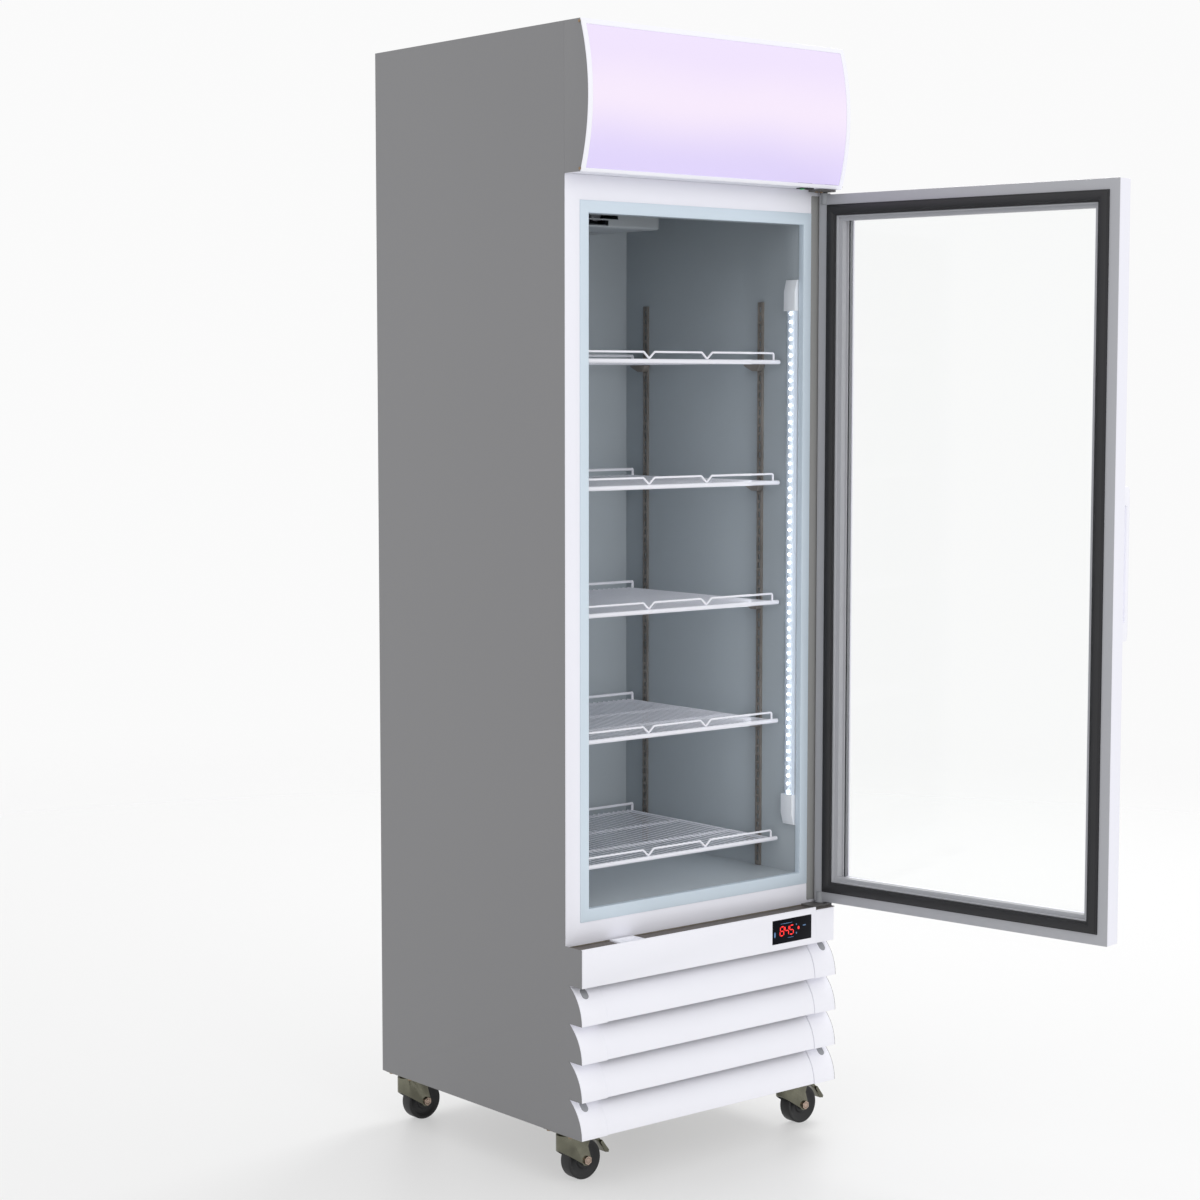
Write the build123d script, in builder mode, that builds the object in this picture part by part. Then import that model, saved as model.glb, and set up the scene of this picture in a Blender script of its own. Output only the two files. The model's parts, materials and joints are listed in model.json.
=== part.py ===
from build123d import *
from math import cos, radians, sin, sqrt
import os

# Glass door merchandiser: an upright display refrigerator with one hinged glass door.
# Millimetres. +Z is up, +X is to the right of a person facing the cabinet, and the
# front faces -Y. The origin is the centre of the cabinet's footprint, on the floor.
# At rest the door stands fully open and the four casters trail towards +X.

os.makedirs("parts", exist_ok=True)

# Driving dimensions: cabinet
cabinet_width = 620.0
cabinet_depth = 600.0
cabinet_top = 2014.0
cabinet_base = 95.0
head_depth = 45.0          # lightbox and grille stand this far in front of the door frame
sheet = 1.2                # outer sheet metal
frame_bottom = 429.0       # white front frame, lower edge
header_bottom = 1760.0     # underside of the lightbox
deck_top = 427.0           # dark ledge on top of the machine bay
trim_outer = (275.5, 468.0, 1717.0)   # breaker strip: half width, bottom, top
trim_inner = (256.5, 490.0, 1696.0)
cavity_half = 258.0
cavity_back = 248.0
ceiling = 1935.0
header_back = -205.0
liner = 1.0

# Driving dimensions: door
door_open_angle = 100.0
door_width = 618.0
door_bottom = 434.0
door_top = 1751.5
door_thickness = 41.0
door_gap = 10.0            # closed door's inner face to the front frame
hinge_x = 298.0
hinge_y = -269.0
pin_radius = 4.0

# Driving dimensions: shelves, lamps, grille, casters
shelf_top = 1445.0
shelf_pitch = 224.0
shelf_count = 5
grille_top = 364.0
fascia_top = 432.0
louver_count = 4
louver_inset = 34.5
caster_x = 268.8
caster_front_y = -222.0
caster_rear_y = 260.0
wheel_radius = 36.0
wheel_trail = 20.4

# Values that follow from them
half_width = cabinet_width / 2
inside = half_width - sheet
front_y = -cabinet_depth / 2
back_y = cabinet_depth / 2
frame_y = front_y + head_depth
louver_drop = (grille_top - cabinet_base) / louver_count
louver_radius = (louver_drop**2 + louver_inset**2) / (2 * louver_inset)
shelf_levels = [shelf_top - number * shelf_pitch for number in range(shelf_count)]


def save(piece, name):
    """Label a finished piece and write its STEP file."""
    piece.part.label = name
    export_step(piece.part, f"parts/{name}.step")


def box_between(x_range, y_range, z_range, mode=Mode.ADD):
    """A box given by its lowest and highest corner, added to the open part."""
    centre = [(low + high) / 2 for low, high in (x_range, y_range, z_range)]
    size = [high - low for low, high in (x_range, y_range, z_range)]
    with Locations(tuple(centre)):
        Box(*size, mode=mode)


def ring_between(plane, outer, inner, depth, mode=Mode.ADD):
    """A rectangular ring on a plane; outer and inner are (left, right, low, high)."""
    with BuildSketch(plane) as ring:
        for edges, kind in ((outer, Mode.ADD), (inner, Mode.SUBTRACT)):
            left, right, low, high = edges
            with Locations(((left + right) / 2, (low + high) / 2)):
                Rectangle(right - left, high - low, mode=kind)
    extrude(ring.sketch, amount=depth, mode=mode)


# ---------------------------------------------------------------- cabinet shell

def louver_point(number, height, shift=0.0):
    """A point on a louver's curve, this high above its lower edge, in the YZ plane."""
    bottom = grille_top - (number + 1) * louver_drop
    return (front_y + louver_radius - sqrt(louver_radius**2 - height**2) + shift, bottom + height)


def grille_outline(shift=0.0, lip=0.0):
    """The louvered front edge, from its top to the cabinet's base, in the YZ plane."""
    for number in range(louver_count):
        last = number == louver_count - 1
        stop = 0.0 if last else lip
        ThreePointArc(louver_point(number, louver_drop, shift), louver_point(number, louver_drop / 2, shift),
                      louver_point(number, stop, shift))
        if not last:
            start = louver_point(number + 1, louver_drop, shift)
            Line(louver_point(number, stop, shift), (start[0], start[1] + stop))
            if stop > 0:
                Line((start[0], start[1] + stop), start)


cap_wall = 2.5
cap_recess = front_y + louver_inset

with BuildPart() as left_side:
    with BuildSketch(Plane.YZ.offset(-half_width)):
        with BuildLine():
            grille_outline()
            Polyline(
                (front_y, cabinet_base), (back_y, cabinet_base), (back_y, cabinet_top),
                (frame_y, cabinet_top), (frame_y, fascia_top), (front_y, fascia_top),
                (front_y, grille_top), (cap_recess, grille_top),
            )
        make_face()
    extrude(amount=sheet)
    back_flange = 14.0
    box_between((-inside, -inside + back_flange), (back_y - 2 * sheet, back_y - sheet),
                (deck_top + 2, cabinet_top - 2))

with BuildPart() as side_panels:
    add(left_side.part)
    mirror(left_side.part, about=Plane.YZ)
    box_between((inside, half_width), (front_y, front_y + 12), (grille_top, fascia_top), mode=Mode.SUBTRACT)
save(side_panels, "side_panels")

slot_length = 190.0
slot_height = 6.0
slot_pitch = 18.0
service_low, service_high = cabinet_base + 2.0, deck_top - 2 * sheet
gland_place = (-250.0, 160.0)      # the power cord's way out, as x and z

with BuildPart() as top_and_rear_panels:
    box_between((-inside, inside), (frame_y, back_y), (cabinet_top - sheet, cabinet_top))
    box_between((-inside, inside), (back_y - sheet, back_y), (deck_top, cabinet_top - 2 * sheet))
    box_between((-inside, inside), (back_y - sheet, back_y), (service_low, service_high))
    with BuildSketch(Plane.XZ.offset(-back_y)):
        with Locations((0, (service_low + service_high) / 2)):
            with GridLocations(slot_length + 50, slot_pitch, 2, 12):
                SlotOverall(slot_length, slot_height)
        with Locations(gland_place):
            Circle(9.0)
    extrude(amount=2 * sheet, both=True, mode=Mode.SUBTRACT)
save(top_and_rear_panels, "top_and_rear_panels")

with BuildPart() as cord_gland:
    with BuildSketch(Plane.XZ.offset(-(back_y - 5))):
        with Locations(gland_place):
            Circle(9.0)
            Circle(4.5, mode=Mode.SUBTRACT)
    extrude(amount=-6)
    with BuildSketch(Plane.XZ.offset(-back_y)):
        with Locations(gland_place):
            Circle(14.0)
            Circle(4.5, mode=Mode.SUBTRACT)
    extrude(amount=-4)
save(cord_gland, "cord_gland")


line_entry = (155.0, 1771.0)       # middle of the refrigerant lines' slot in the liner, x and z
line_slot = (20.0, 40.0)


def cavity_outline(grow):
    """Side outline of the refrigerated space, open towards the door."""
    low, high, header = trim_inner[1] - 1.5 - grow, ceiling + grow, trim_inner[2] + 1.5 + grow
    Polyline(
        (frame_y + 2, low), (cavity_back + grow, low), (cavity_back + grow, high),
        (header_back - grow, high), (header_back - grow, header), (frame_y + 2, header),
        close=True,
    )


with BuildPart() as inner_liner:
    with BuildSketch(Plane.YZ):
        with BuildLine():
            cavity_outline(liner)
        make_face()
    extrude(amount=cavity_half + liner, both=True)
    with BuildSketch(Plane.YZ):
        with BuildLine():
            cavity_outline(0.0)
        make_face()
    extrude(amount=cavity_half, both=True, mode=Mode.SUBTRACT)
    with BuildSketch(Plane.XZ.offset(-cavity_back + 2)):
        with Locations(line_entry):
            Rectangle(*line_slot)
    extrude(amount=-6, mode=Mode.SUBTRACT)
save(inner_liner, "inner_liner")

with BuildPart() as insulation_foam:
    box_between((-inside, inside), (frame_y + 2, back_y - 2 * sheet), (deck_top, cabinet_top - sheet))
    with BuildSketch(Plane.YZ):
        with BuildLine():
            cavity_outline(liner)
        make_face()
    extrude(amount=cavity_half + liner, both=True, mode=Mode.SUBTRACT)
    box_between((line_entry[0] - line_slot[0] / 2, line_entry[0] + line_slot[0] / 2),
                (280, back_y), (deck_top - 1, line_entry[1] + line_slot[1] / 2), mode=Mode.SUBTRACT)
    box_between((line_entry[0] - line_slot[0] / 2, line_entry[0] + line_slot[0] / 2),
                (cavity_back, back_y),
                (line_entry[1] - line_slot[1] / 2, line_entry[1] + line_slot[1] / 2), mode=Mode.SUBTRACT)
save(insulation_foam, "insulation_foam")

front_plane = Plane.XZ.offset(-frame_y)      # its normal points out of the front, -Y

with BuildPart() as front_frame:
    ring_between(
        front_plane, (-inside, inside, frame_bottom, header_bottom),
        (-trim_outer[0], trim_outer[0], trim_outer[1], trim_outer[2]), -2.0,
    )
save(front_frame, "front_frame")

breaker_depth = 10.0
with BuildPart() as breaker_frame:
    ring_between(
        front_plane.offset(1.0), (-trim_outer[0], trim_outer[0], trim_outer[1], trim_outer[2]),
        (-trim_inner[0], trim_inner[0], trim_inner[1], trim_inner[2]), -3.0,
    )
    ring_between(
        front_plane.offset(-2.0), (-cavity_half, cavity_half, trim_inner[1] - 1.5, trim_inner[2] + 1.5),
        (-trim_inner[0], trim_inner[0], trim_inner[1], trim_inner[2]), -breaker_depth,
    )
save(breaker_frame, "breaker_frame")

with BuildPart() as hinge_post_cover:
    box_between((trim_outer[0], 304.0), (frame_y - 0.8, frame_y), (436.0, 1749.0))
    fillet(hinge_post_cover.edges().filter_by(Axis.Y), 2.0)
save(hinge_post_cover, "hinge_post_cover")

# ---------------------------------------------------------------- machine bay

tray_flange = 22.0
fascia_wall = 3.0
bay_front = -262.0

with BuildPart() as machine_bay_decks:
    box_between((-inside, inside), (front_y + fascia_wall, back_y - sheet), (deck_top - sheet, deck_top))
    box_between((-inside, inside), (bay_front, back_y - sheet), (cabinet_base, cabinet_base + 2))
    for flange_y in (bay_front, back_y - sheet - 2):
        box_between((-inside, inside), (flange_y, flange_y + 2),
                    (cabinet_base + 2, cabinet_base + tray_flange))
    box_between((line_entry[0] - line_slot[0] / 2, line_entry[0] + line_slot[0] / 2),
                (280, back_y - sheet), (deck_top - 2 * sheet, deck_top + sheet), mode=Mode.SUBTRACT)
save(machine_bay_decks, "machine_bay_decks")

fascia_right = 256.7
window = (144.7, 245.2, 375.5, 420.3)        # left, right, low, high

with BuildPart() as control_fascia:
    box_between((-inside, fascia_right), (front_y, front_y + fascia_wall), (grille_top, fascia_top))
    box_between((-inside, fascia_right), (front_y + fascia_wall, front_y + 12), (grille_top, grille_top + 2))
    box_between((-inside, -inside + 2), (front_y + fascia_wall, bay_front), (grille_top, deck_top - sheet))
    fillet(control_fascia.edges().filter_by(Axis.Z).sort_by(Axis.Y)[:2].sort_by(Axis.X)[0], 2.8)
    box_between(window[:2], (front_y - 1, front_y + fascia_wall + 1), window[2:], mode=Mode.SUBTRACT)
save(control_fascia, "control_fascia")

with BuildPart() as controller_display:
    box_between(window[:2], (front_y + 0.4, front_y + fascia_wall), window[2:])
    box_between((window[0] - 4, window[1] + 4), (front_y + fascia_wall, front_y + 32),
                (window[2] - 4, window[3] + 2))
    with Locations((window[0] + 30, front_y + 32 + 5, 398)):
        Box(36, 10, 14)
save(controller_display, "controller_display")

plug_places = [(-288.0, 349.5), (-288.0, 149.5), (291.0, 351.0), (291.0, 150.0)]


def plug_plane(x, z):
    """The plane that touches the louvered end cap at this place, facing outwards."""
    number = int((grille_top - z) // louver_drop)
    height = z - (grille_top - (number + 1) * louver_drop)
    inward = sqrt(louver_radius**2 - height**2)
    surface_y = front_y + louver_radius - inward
    return Plane(origin=(x, surface_y, z), x_dir=(1, 0, 0), z_dir=(0, -inward, height))


def end_cap(x_low, x_high, wall_x, top):
    """One louvered end piece of the grille; wall_x is the outer wall's x range."""
    with BuildPart() as cap:
        with BuildSketch(Plane.YZ.offset(x_low)):
            with BuildLine():
                grille_outline()
                grille_outline(cap_wall + 1, cap_wall)
                Line((front_y, cabinet_base), (front_y + cap_wall + 1, cabinet_base))
                Line((cap_recess, grille_top), (cap_recess + cap_wall + 1, grille_top))
            make_face()
        extrude(amount=x_high - x_low)
        with BuildSketch(Plane.YZ.offset(wall_x[0])):
            with BuildLine():
                grille_outline()
                Polyline((front_y, cabinet_base), (bay_front, cabinet_base),
                         (bay_front, grille_top), (cap_recess, grille_top))
            make_face()
        extrude(amount=wall_x[1] - wall_x[0])
        if top > grille_top:
            box_between((x_low, x_high), (front_y, bay_front), (grille_top, top))
            corner = cap.edges().filter_by(Axis.Z).sort_by(Axis.Y)[:2].sort_by(Axis.X)[-1]
            fillet(corner, 9.0)
            box_between((x_low, x_high - cap_wall), (front_y + 11, bay_front),
                        (grille_top + cap_wall, top), mode=Mode.SUBTRACT)
        for x, z in plug_places:
            if x_low < x < x_high:
                with BuildSketch(plug_plane(x, z).offset(-6)):
                    SlotOverall(21.0, 15.0, rotation=90)
                extrude(amount=12, mode=Mode.SUBTRACT)
    return cap


left_cap = end_cap(-inside, -251.0, (-inside, -inside + cap_wall), grille_top)
right_cap = end_cap(fascia_right, inside, (inside - cap_wall, inside), deck_top - sheet)

with BuildPart() as grille_end_caps:
    add(left_cap.part)
    add(right_cap.part)
save(grille_end_caps, "grille_end_caps")

with BuildPart() as grille_screw_plugs:
    for x, z in plug_places:
        with BuildSketch(plug_plane(x, z).offset(-4)):
            SlotOverall(21.0, 15.0, rotation=90)
        extrude(amount=3.6)
save(grille_screw_plugs, "grille_screw_plugs")

blade_wall = 1.6
with BuildPart() as grille_louvers:
    for number in range(louver_count):
        top = grille_top - number * louver_drop
        bottom = top - louver_drop
        middle = louver_radius - sqrt(louver_radius**2 - (louver_drop / 2) ** 2)
        with BuildSketch(Plane.YZ.offset(-251.0)):
            with BuildLine():
                outer_curve = ThreePointArc(
                    (cap_recess, top), (front_y + middle, (top + bottom) / 2), (front_y, bottom + 0.4))
                Polyline(outer_curve @ 1, (front_y + 6, bottom + 0.4), (front_y + 6, bottom + 2),
                         (front_y + blade_wall, bottom + 2))
                inner_curve = ThreePointArc(
                    (front_y + blade_wall, bottom + 2),
                    (front_y + middle + blade_wall, (top + bottom) / 2),
                    (cap_recess + blade_wall, top - 1))
                Polyline(inner_curve @ 1, (cap_recess + blade_wall, top + 4), (cap_recess, top + 4),
                         outer_curve @ 0)
            make_face()
        extrude(amount=fascia_right + 251.0)
save(grille_louvers, "grille_louvers")

with BuildPart() as door_strike:
    box_between((-212, -158), (-294, -259), (deck_top, deck_top + 3.4))
    box_between((-206, -164), (-292, -268), (deck_top + 1.5, deck_top + 3.4), mode=Mode.SUBTRACT)
    box_between((-206, -198), (-292, -268), (deck_top + 1.0, deck_top + 3.0))
save(door_strike, "door_strike")

compressor_x, compressor_y = 130.0, 110.0
with BuildPart() as compressor:
    with BuildSketch(Plane.XY.offset(112)):
        with Locations((compressor_x, compressor_y)):
            Ellipse(98, 76)
    extrude(amount=150)
    fillet(compressor.edges().group_by(Axis.Z)[-1], 38)
    fillet(compressor.edges().group_by(Axis.Z)[0], 12)
    box_between((compressor_x - 100, compressor_x + 100), (compressor_y - 55, compressor_y + 55), (109, 113))
    with Locations([(compressor_x + dx, compressor_y + dy, 103) for dx in (-88, 88) for dy in (-44, 44)]):
        Cylinder(11, 12)
    with BuildSketch(Plane.XY.offset(250)):
        with Locations((compressor_x - 24, compressor_y + 15), (compressor_x + 22, compressor_y + 15)):
            Circle(4)
    extrude(amount=70)
    box_between((compressor_x + 90, compressor_x + 122), (compressor_y - 30, compressor_y + 30), (150, 205))
save(compressor, "compressor")


def finned_coil(x_range, y_range, z_range, fins, rows, name):
    """A finned tube heat exchanger: thin fins on tubes that run along X."""
    x_low, x_high = x_range
    with BuildPart() as coil:
        with BuildSketch(Plane.YZ.offset(x_low)):
            with Locations(((y_range[0] + y_range[1]) / 2, (z_range[0] + z_range[1]) / 2)):
                with GridLocations(22, 26, 2, rows):
                    Circle(4.5)
        extrude(amount=x_high - x_low)
        step = (x_high - x_low - 16) / (fins - 1)
        middle = [(low + high) / 2 for low, high in (x_range, y_range, z_range)]
        with Locations(tuple(middle)):
            with GridLocations(step, 1, fins, 1):
                Box(0.8, y_range[1] - y_range[0], z_range[1] - z_range[0])
            with GridLocations(x_high - x_low - 16, 1, 2, 1):
                Box(2.0, y_range[1] - y_range[0], z_range[1] - z_range[0])
    save(coil, name)


finned_coil((-240.0, 60.0), (-238.0, -192.0), (108.0, 400.0), 31, 11, "condenser_coil")
finned_coil((-146.0, 146.0), (176.0, 236.0), (1715.0, 1905.0), 31, 7, "evaporator_coil")

lines = {
    "discharge": (3.0, 8.0, [(106, 125, 320.2), (106, 125, 358), (106, -204, 358), (60.2, -204, 358)]),
    "suction": (4.0, 10.0, [(152, 125, 320.2), (152, 125, 385), (152, 288, 385), (152, 288, 1784),
                            (152, 217, 1784), (146.2, 217, 1784)]),
    "capillary": (1.5, 5.0, [(60.2, -226, 176), (76, -226, 176), (76, -226, 405), (76, 262, 405),
                             (160.5, 262, 405), (160.5, 288, 405), (160.5, 288, 1758),
                             (160.5, 217, 1758), (146.2, 217, 1758)]),
}

with BuildPart() as refrigerant_pipes:
    for line_radius, bend, corners in lines.values():
        with BuildLine():
            route = FilletPolyline(*corners, radius=min(bend, 5.0))
        with BuildSketch(Plane(origin=route @ 0, z_dir=route % 0)):
            Circle(line_radius)
        sweep(path=route)
    with Locations(Location((76, 20, 405), (90, 0, 0))):
        Cylinder(10, 70)
save(refrigerant_pipes, "refrigerant_pipes")

with BuildPart() as drip_tray:
    box_between((-285, -20), (150, 280), (cabinet_base + 2, 137))
    offset(amount=-1.5, openings=drip_tray.faces().sort_by(Axis.Z)[-1])
save(drip_tray, "drip_tray")

# ---------------------------------------------------------------- fans

evaporator_fan_z = 1798.0
evaporator_fan_y = 62.0
condenser_fan_x = -90.0
condenser_fan_y = -165.0
condenser_fan_z = 255.0
fan_depth = 22.0
shaft_radius = 3.0
blade_tilt = radians(24)


def fan_wheel(x, y, z, blade_radius, name):
    """A five-bladed fan wheel that turns about Y; y is the middle of its hub."""
    with BuildPart() as wheel:
        with Locations(Location((x, y, z), (90, 0, 0))):
            Cylinder(22, fan_depth)
        for turn in range(5):
            across, up = cos(radians(72 * turn)), sin(radians(72 * turn))
            tilted = Plane(origin=(x, y, z), x_dir=(across, 0, up),
                           z_dir=(-up * sin(blade_tilt), -cos(blade_tilt), across * sin(blade_tilt)))
            with BuildSketch(tilted.offset(-1)):
                with BuildLine():
                    Polyline((18, -8), (blade_radius * 0.55, -26), (blade_radius * 0.93, -24))
                    ThreePointArc((blade_radius * 0.93, -24), (blade_radius, 2), (blade_radius * 0.9, 22))
                    Polyline((blade_radius * 0.9, 22), (18, 9), (18, -8))
                make_face()
            extrude(amount=2)
        with Locations(Location((x, y, z), (90, 0, 0))):
            Cylinder(shaft_radius + 0.05, 80, mode=Mode.SUBTRACT)
    save(wheel, name)


fan_wheel(0.0, evaporator_fan_y, evaporator_fan_z, 92.0, "evaporator_fan")
fan_wheel(condenser_fan_x, condenser_fan_y, condenser_fan_z, 112.0, "condenser_fan")


def motor_solid(x, y_low, z, strap_z):
    """A fan motor with its shaft towards -Y and a strap to the ceiling or the tray."""
    with BuildPart() as motor:
        with Locations(Location((x, y_low + 30, z), (90, 0, 0))):
            Cylinder(38, 60)
        fillet(motor.edges().filter_by(GeomType.CIRCLE), 5)
        with Locations(Location((x, y_low - 13, z), (90, 0, 0))):
            Cylinder(shaft_radius, 30)
        low, high = sorted((z, strap_z))
        box_between((x - 16, x + 16), (y_low + 50, y_low + 54), (low, high))
        foot = 3.0 if strap_z > z else -3.0
        low, high = sorted((strap_z, strap_z - foot))
        box_between((x - 16, x + 16), (y_low + 50, y_low + 80), (low, high))
    return motor


evaporator_motor = motor_solid(0.0, evaporator_fan_y + 14, evaporator_fan_z, ceiling)
condenser_motor = motor_solid(condenser_fan_x, condenser_fan_y + 14, condenser_fan_z, cabinet_base + 2)

with BuildPart() as fan_motors:
    add(evaporator_motor.part)
    add(condenser_motor.part)
save(fan_motors, "fan_motors")

cover_half = 164.0
cover_front = 38.0
cover_bottom = 1696.0
fan_opening = 100.0
bar_pitch = 12.5
bar_slot = 10.0

with BuildPart() as evaporator_cover:
    box_between((-cover_half, cover_half), (cover_front, cavity_back), (cover_bottom, ceiling))
    fillet(evaporator_cover.edges().filter_by(Axis.Z).group_by(Axis.Y)[0], 9)
    fillet(evaporator_cover.faces().sort_by(Axis.Z)[0].edges().sort_by(Axis.Y)[0], 5)
    box_between((-cover_half + 2, cover_half - 2), (cover_front + 8, cavity_back - 2),
                (cover_bottom + 6, ceiling), mode=Mode.SUBTRACT)
    box_between((line_entry[0] - line_slot[0] / 2, cover_half - 2), (cavity_back - 3, cavity_back),
                (line_entry[1] - line_slot[1] / 2, line_entry[1] + line_slot[1] / 2), mode=Mode.SUBTRACT)
    box_between((-fan_opening - 4, fan_opening + 4), (cover_front + 2, cover_front + 9),
                (evaporator_fan_z - fan_opening + 4, evaporator_fan_z + fan_opening + 4), mode=Mode.SUBTRACT)
    with BuildSketch(Plane.XZ.offset(-cover_front)):
        for number in range(-8, 8):
            rise = (number + 0.5) * bar_pitch
            if abs(rise) < fan_opening - 6:
                reach = sqrt(fan_opening**2 - rise**2)
                with Locations((0, evaporator_fan_z + rise)):
                    Rectangle(2 * reach, bar_slot)
    extrude(amount=-9, mode=Mode.SUBTRACT)
    with BuildSketch(Plane.XY.offset(cover_bottom)):
        with Locations((0, 200)):
            with GridLocations(1, 14, 1, 5):
                SlotOverall(240, 7)
    extrude(amount=8, mode=Mode.SUBTRACT)
save(evaporator_cover, "evaporator_cover")

# ---------------------------------------------------------------- pilasters, clips, lamps

pilaster_depth = 4.0
pilaster_width = 14.0
pilaster_bottom = 489.5
pilaster_top = 1557.0
pilaster_rows = {"front": -143.0, "rear": 186.0}
slot_step = 16.0

with BuildPart() as pilaster:
    box_between((cavity_half - pilaster_depth, cavity_half), (-pilaster_width / 2, pilaster_width / 2),
                (pilaster_bottom, pilaster_top))
    box_between((cavity_half - pilaster_depth + 1.2, cavity_half),
                (-pilaster_width / 2 + 1.2, pilaster_width / 2 - 1.2),
                (pilaster_bottom - 1, pilaster_top + 1), mode=Mode.SUBTRACT)
    slots = int((pilaster_top - pilaster_bottom) // slot_step)
    with BuildSketch(Plane.YZ.offset(cavity_half - pilaster_depth - 1)):
        with Locations((0, (pilaster_bottom + pilaster_top) / 2)):
            with GridLocations(1, slot_step, 1, slots):
                Rectangle(5, 10)
    extrude(amount=3, mode=Mode.SUBTRACT)

with BuildPart() as pilaster_pair:
    for row_y in pilaster_rows.values():
        with Locations((0, row_y, 0)):
            add(pilaster.part)

with BuildPart() as shelf_pilasters:
    add(pilaster_pair.part)
    mirror(pilaster_pair.part, about=Plane.YZ)
save(shelf_pilasters, "shelf_pilasters")

clip_face = cavity_half - pilaster_depth
clip_reach = 14.0

with BuildPart() as clip_column:
    for level in shelf_levels:
        for row_y in pilaster_rows.values():
            clip_plane = Plane(origin=(clip_face - clip_reach, row_y + 8, level - 3.7),
                               x_dir=(0, 1, 0), z_dir=(1, 0, 0))
            with BuildSketch(clip_plane):
                with BuildLine():
                    Polyline((-22, 0), (22, 0), (22, -3), (0, -13), (-14, -13), (-22, -3), close=True)
                make_face()
            extrude(amount=clip_reach)

with BuildPart() as shelf_clips:
    add(clip_column.part)
    mirror(clip_column.part, about=Plane.YZ)
save(shelf_clips, "shelf_clips")

lamp_y = (-241.5, -212.5)
lamp_z = (579.0, 1596.0)
lamp_cap = 57.0
lamp_depth = 10.0
lamp_face = cavity_half - lamp_depth
lamp_chips = 59
chip_step = 15.4
lamp_middle_y = sum(lamp_y) / 2
lamp_middle_z = sum(lamp_z) / 2

with BuildPart() as led_channel:
    box_between((cavity_half - 1.5, cavity_half), lamp_y, lamp_z)
    for low_z, tip in ((lamp_z[0], 1), (lamp_z[1], -1)):
        with BuildSketch(Plane.XZ.offset(-lamp_y[0])):
            with BuildLine():
                Polyline((cavity_half - 1.5, low_z), (cavity_half - 4, low_z),
                         (lamp_face, low_z + tip * 22), (lamp_face, low_z + tip * lamp_cap),
                         (cavity_half - 1.5, low_z + tip * lamp_cap), close=True)
            make_face()
        extrude(amount=-(lamp_y[1] - lamp_y[0]))
    board_bottom, board_top = lamp_z[0] + lamp_cap, lamp_z[1] - lamp_cap
    box_between((cavity_half - 2.7, cavity_half - 1.5), (lamp_middle_y - 7, lamp_middle_y + 7),
                (board_bottom, board_top))
    with Locations((cavity_half - 3.2, lamp_middle_y, lamp_middle_z)):
        with Locations([(0, 0, (number - lamp_chips // 2) * chip_step) for number in range(lamp_chips)]):
            Box(1.2, 6, 6)
save(led_channel, "led_channel")

with BuildPart() as led_cover:
    with BuildSketch(Plane.XY.offset(board_bottom)):
        with BuildLine():
            outer_lens = ThreePointArc((cavity_half - 1.5, lamp_y[0]), (lamp_face, lamp_middle_y),
                                       (cavity_half - 1.5, lamp_y[1]))
            Line(outer_lens @ 1, (cavity_half - 1.5, lamp_y[1] - 1.5))
            inner_lens = ThreePointArc((cavity_half - 1.5, lamp_y[1] - 1.5), (lamp_face + 1.5, lamp_middle_y),
                                       (cavity_half - 1.5, lamp_y[0] + 1.5))
            Line(inner_lens @ 1, outer_lens @ 0)
        make_face()
    extrude(amount=board_top - board_bottom)
save(led_cover, "led_cover")

# ---------------------------------------------------------------- lightbox

box_bulge = 21.0
box_middle = (header_bottom + cabinet_top) / 2
lens_half = 301.0
lens_z = (1766.0, 2005.0)
trim_wall = 3.0
lens_proud = 3.0
lens_wall = 3.0


def bulge_arc(shift, low, high):
    """The lightbox's curved front between two heights; shift moves it towards -Y."""
    chord = (cabinet_top - header_bottom) / 2
    radius = (chord**2 + box_bulge**2) / (2 * box_bulge)

    def point(z):
        rise = sqrt(radius**2 - (z - box_middle) ** 2) - (radius - box_bulge)
        return (front_y - rise - shift, z)

    return ThreePointArc(point(low), point(box_middle), point(high))


def curved_band(plane, front_shift, back_shift, low, high, amount, mode=Mode.ADD):
    """A slab that follows the lightbox's curve, extruded from the plane along X."""
    with BuildSketch(plane) as band:
        with BuildLine():
            front_arc = bulge_arc(front_shift, low, high)
            back_arc = bulge_arc(back_shift, low, high)
            Line(front_arc @ 0, back_arc @ 0)
            Line(front_arc @ 1, back_arc @ 1)
        make_face()
    extrude(band.sketch, amount=amount, mode=mode)


with BuildPart() as lightbox_case:
    box_between((-inside, inside), (frame_y - sheet, frame_y),
                (header_bottom + sheet, cabinet_top - sheet))
    for low in (header_bottom, cabinet_top - sheet):
        box_between((-inside, inside), (front_y + trim_wall, frame_y), (low, low + sheet))
    switch_x, switch_y = 234.0, -281.0
    box_between((switch_x - 13, switch_x + 13), (switch_y - 5.5, switch_y + 5.5),
                (header_bottom - 1, header_bottom + 2 * sheet), mode=Mode.SUBTRACT)
save(lightbox_case, "lightbox_case")

with BuildPart() as left_cheek:
    with BuildSketch(Plane.YZ.offset(-half_width)):
        with BuildLine():
            cheek_arc = bulge_arc(-trim_wall, header_bottom, cabinet_top)
            Polyline(cheek_arc @ 1, (frame_y, cabinet_top), (frame_y, header_bottom), cheek_arc @ 0)
        make_face()
    extrude(amount=sheet)

with BuildPart() as lightbox_cheeks:
    add(left_cheek.part)
    mirror(left_cheek.part, about=Plane.YZ)
save(lightbox_cheeks, "lightbox_cheeks")

with BuildPart() as lightbox_trim:
    curved_band(Plane.YZ.offset(-half_width), 0.0, -trim_wall, header_bottom, cabinet_top, cabinet_width)
    curved_band(Plane.YZ.offset(-lens_half), 5.0, -8.0, lens_z[0], lens_z[1], 2 * lens_half, Mode.SUBTRACT)
save(lightbox_trim, "lightbox_trim")

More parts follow.
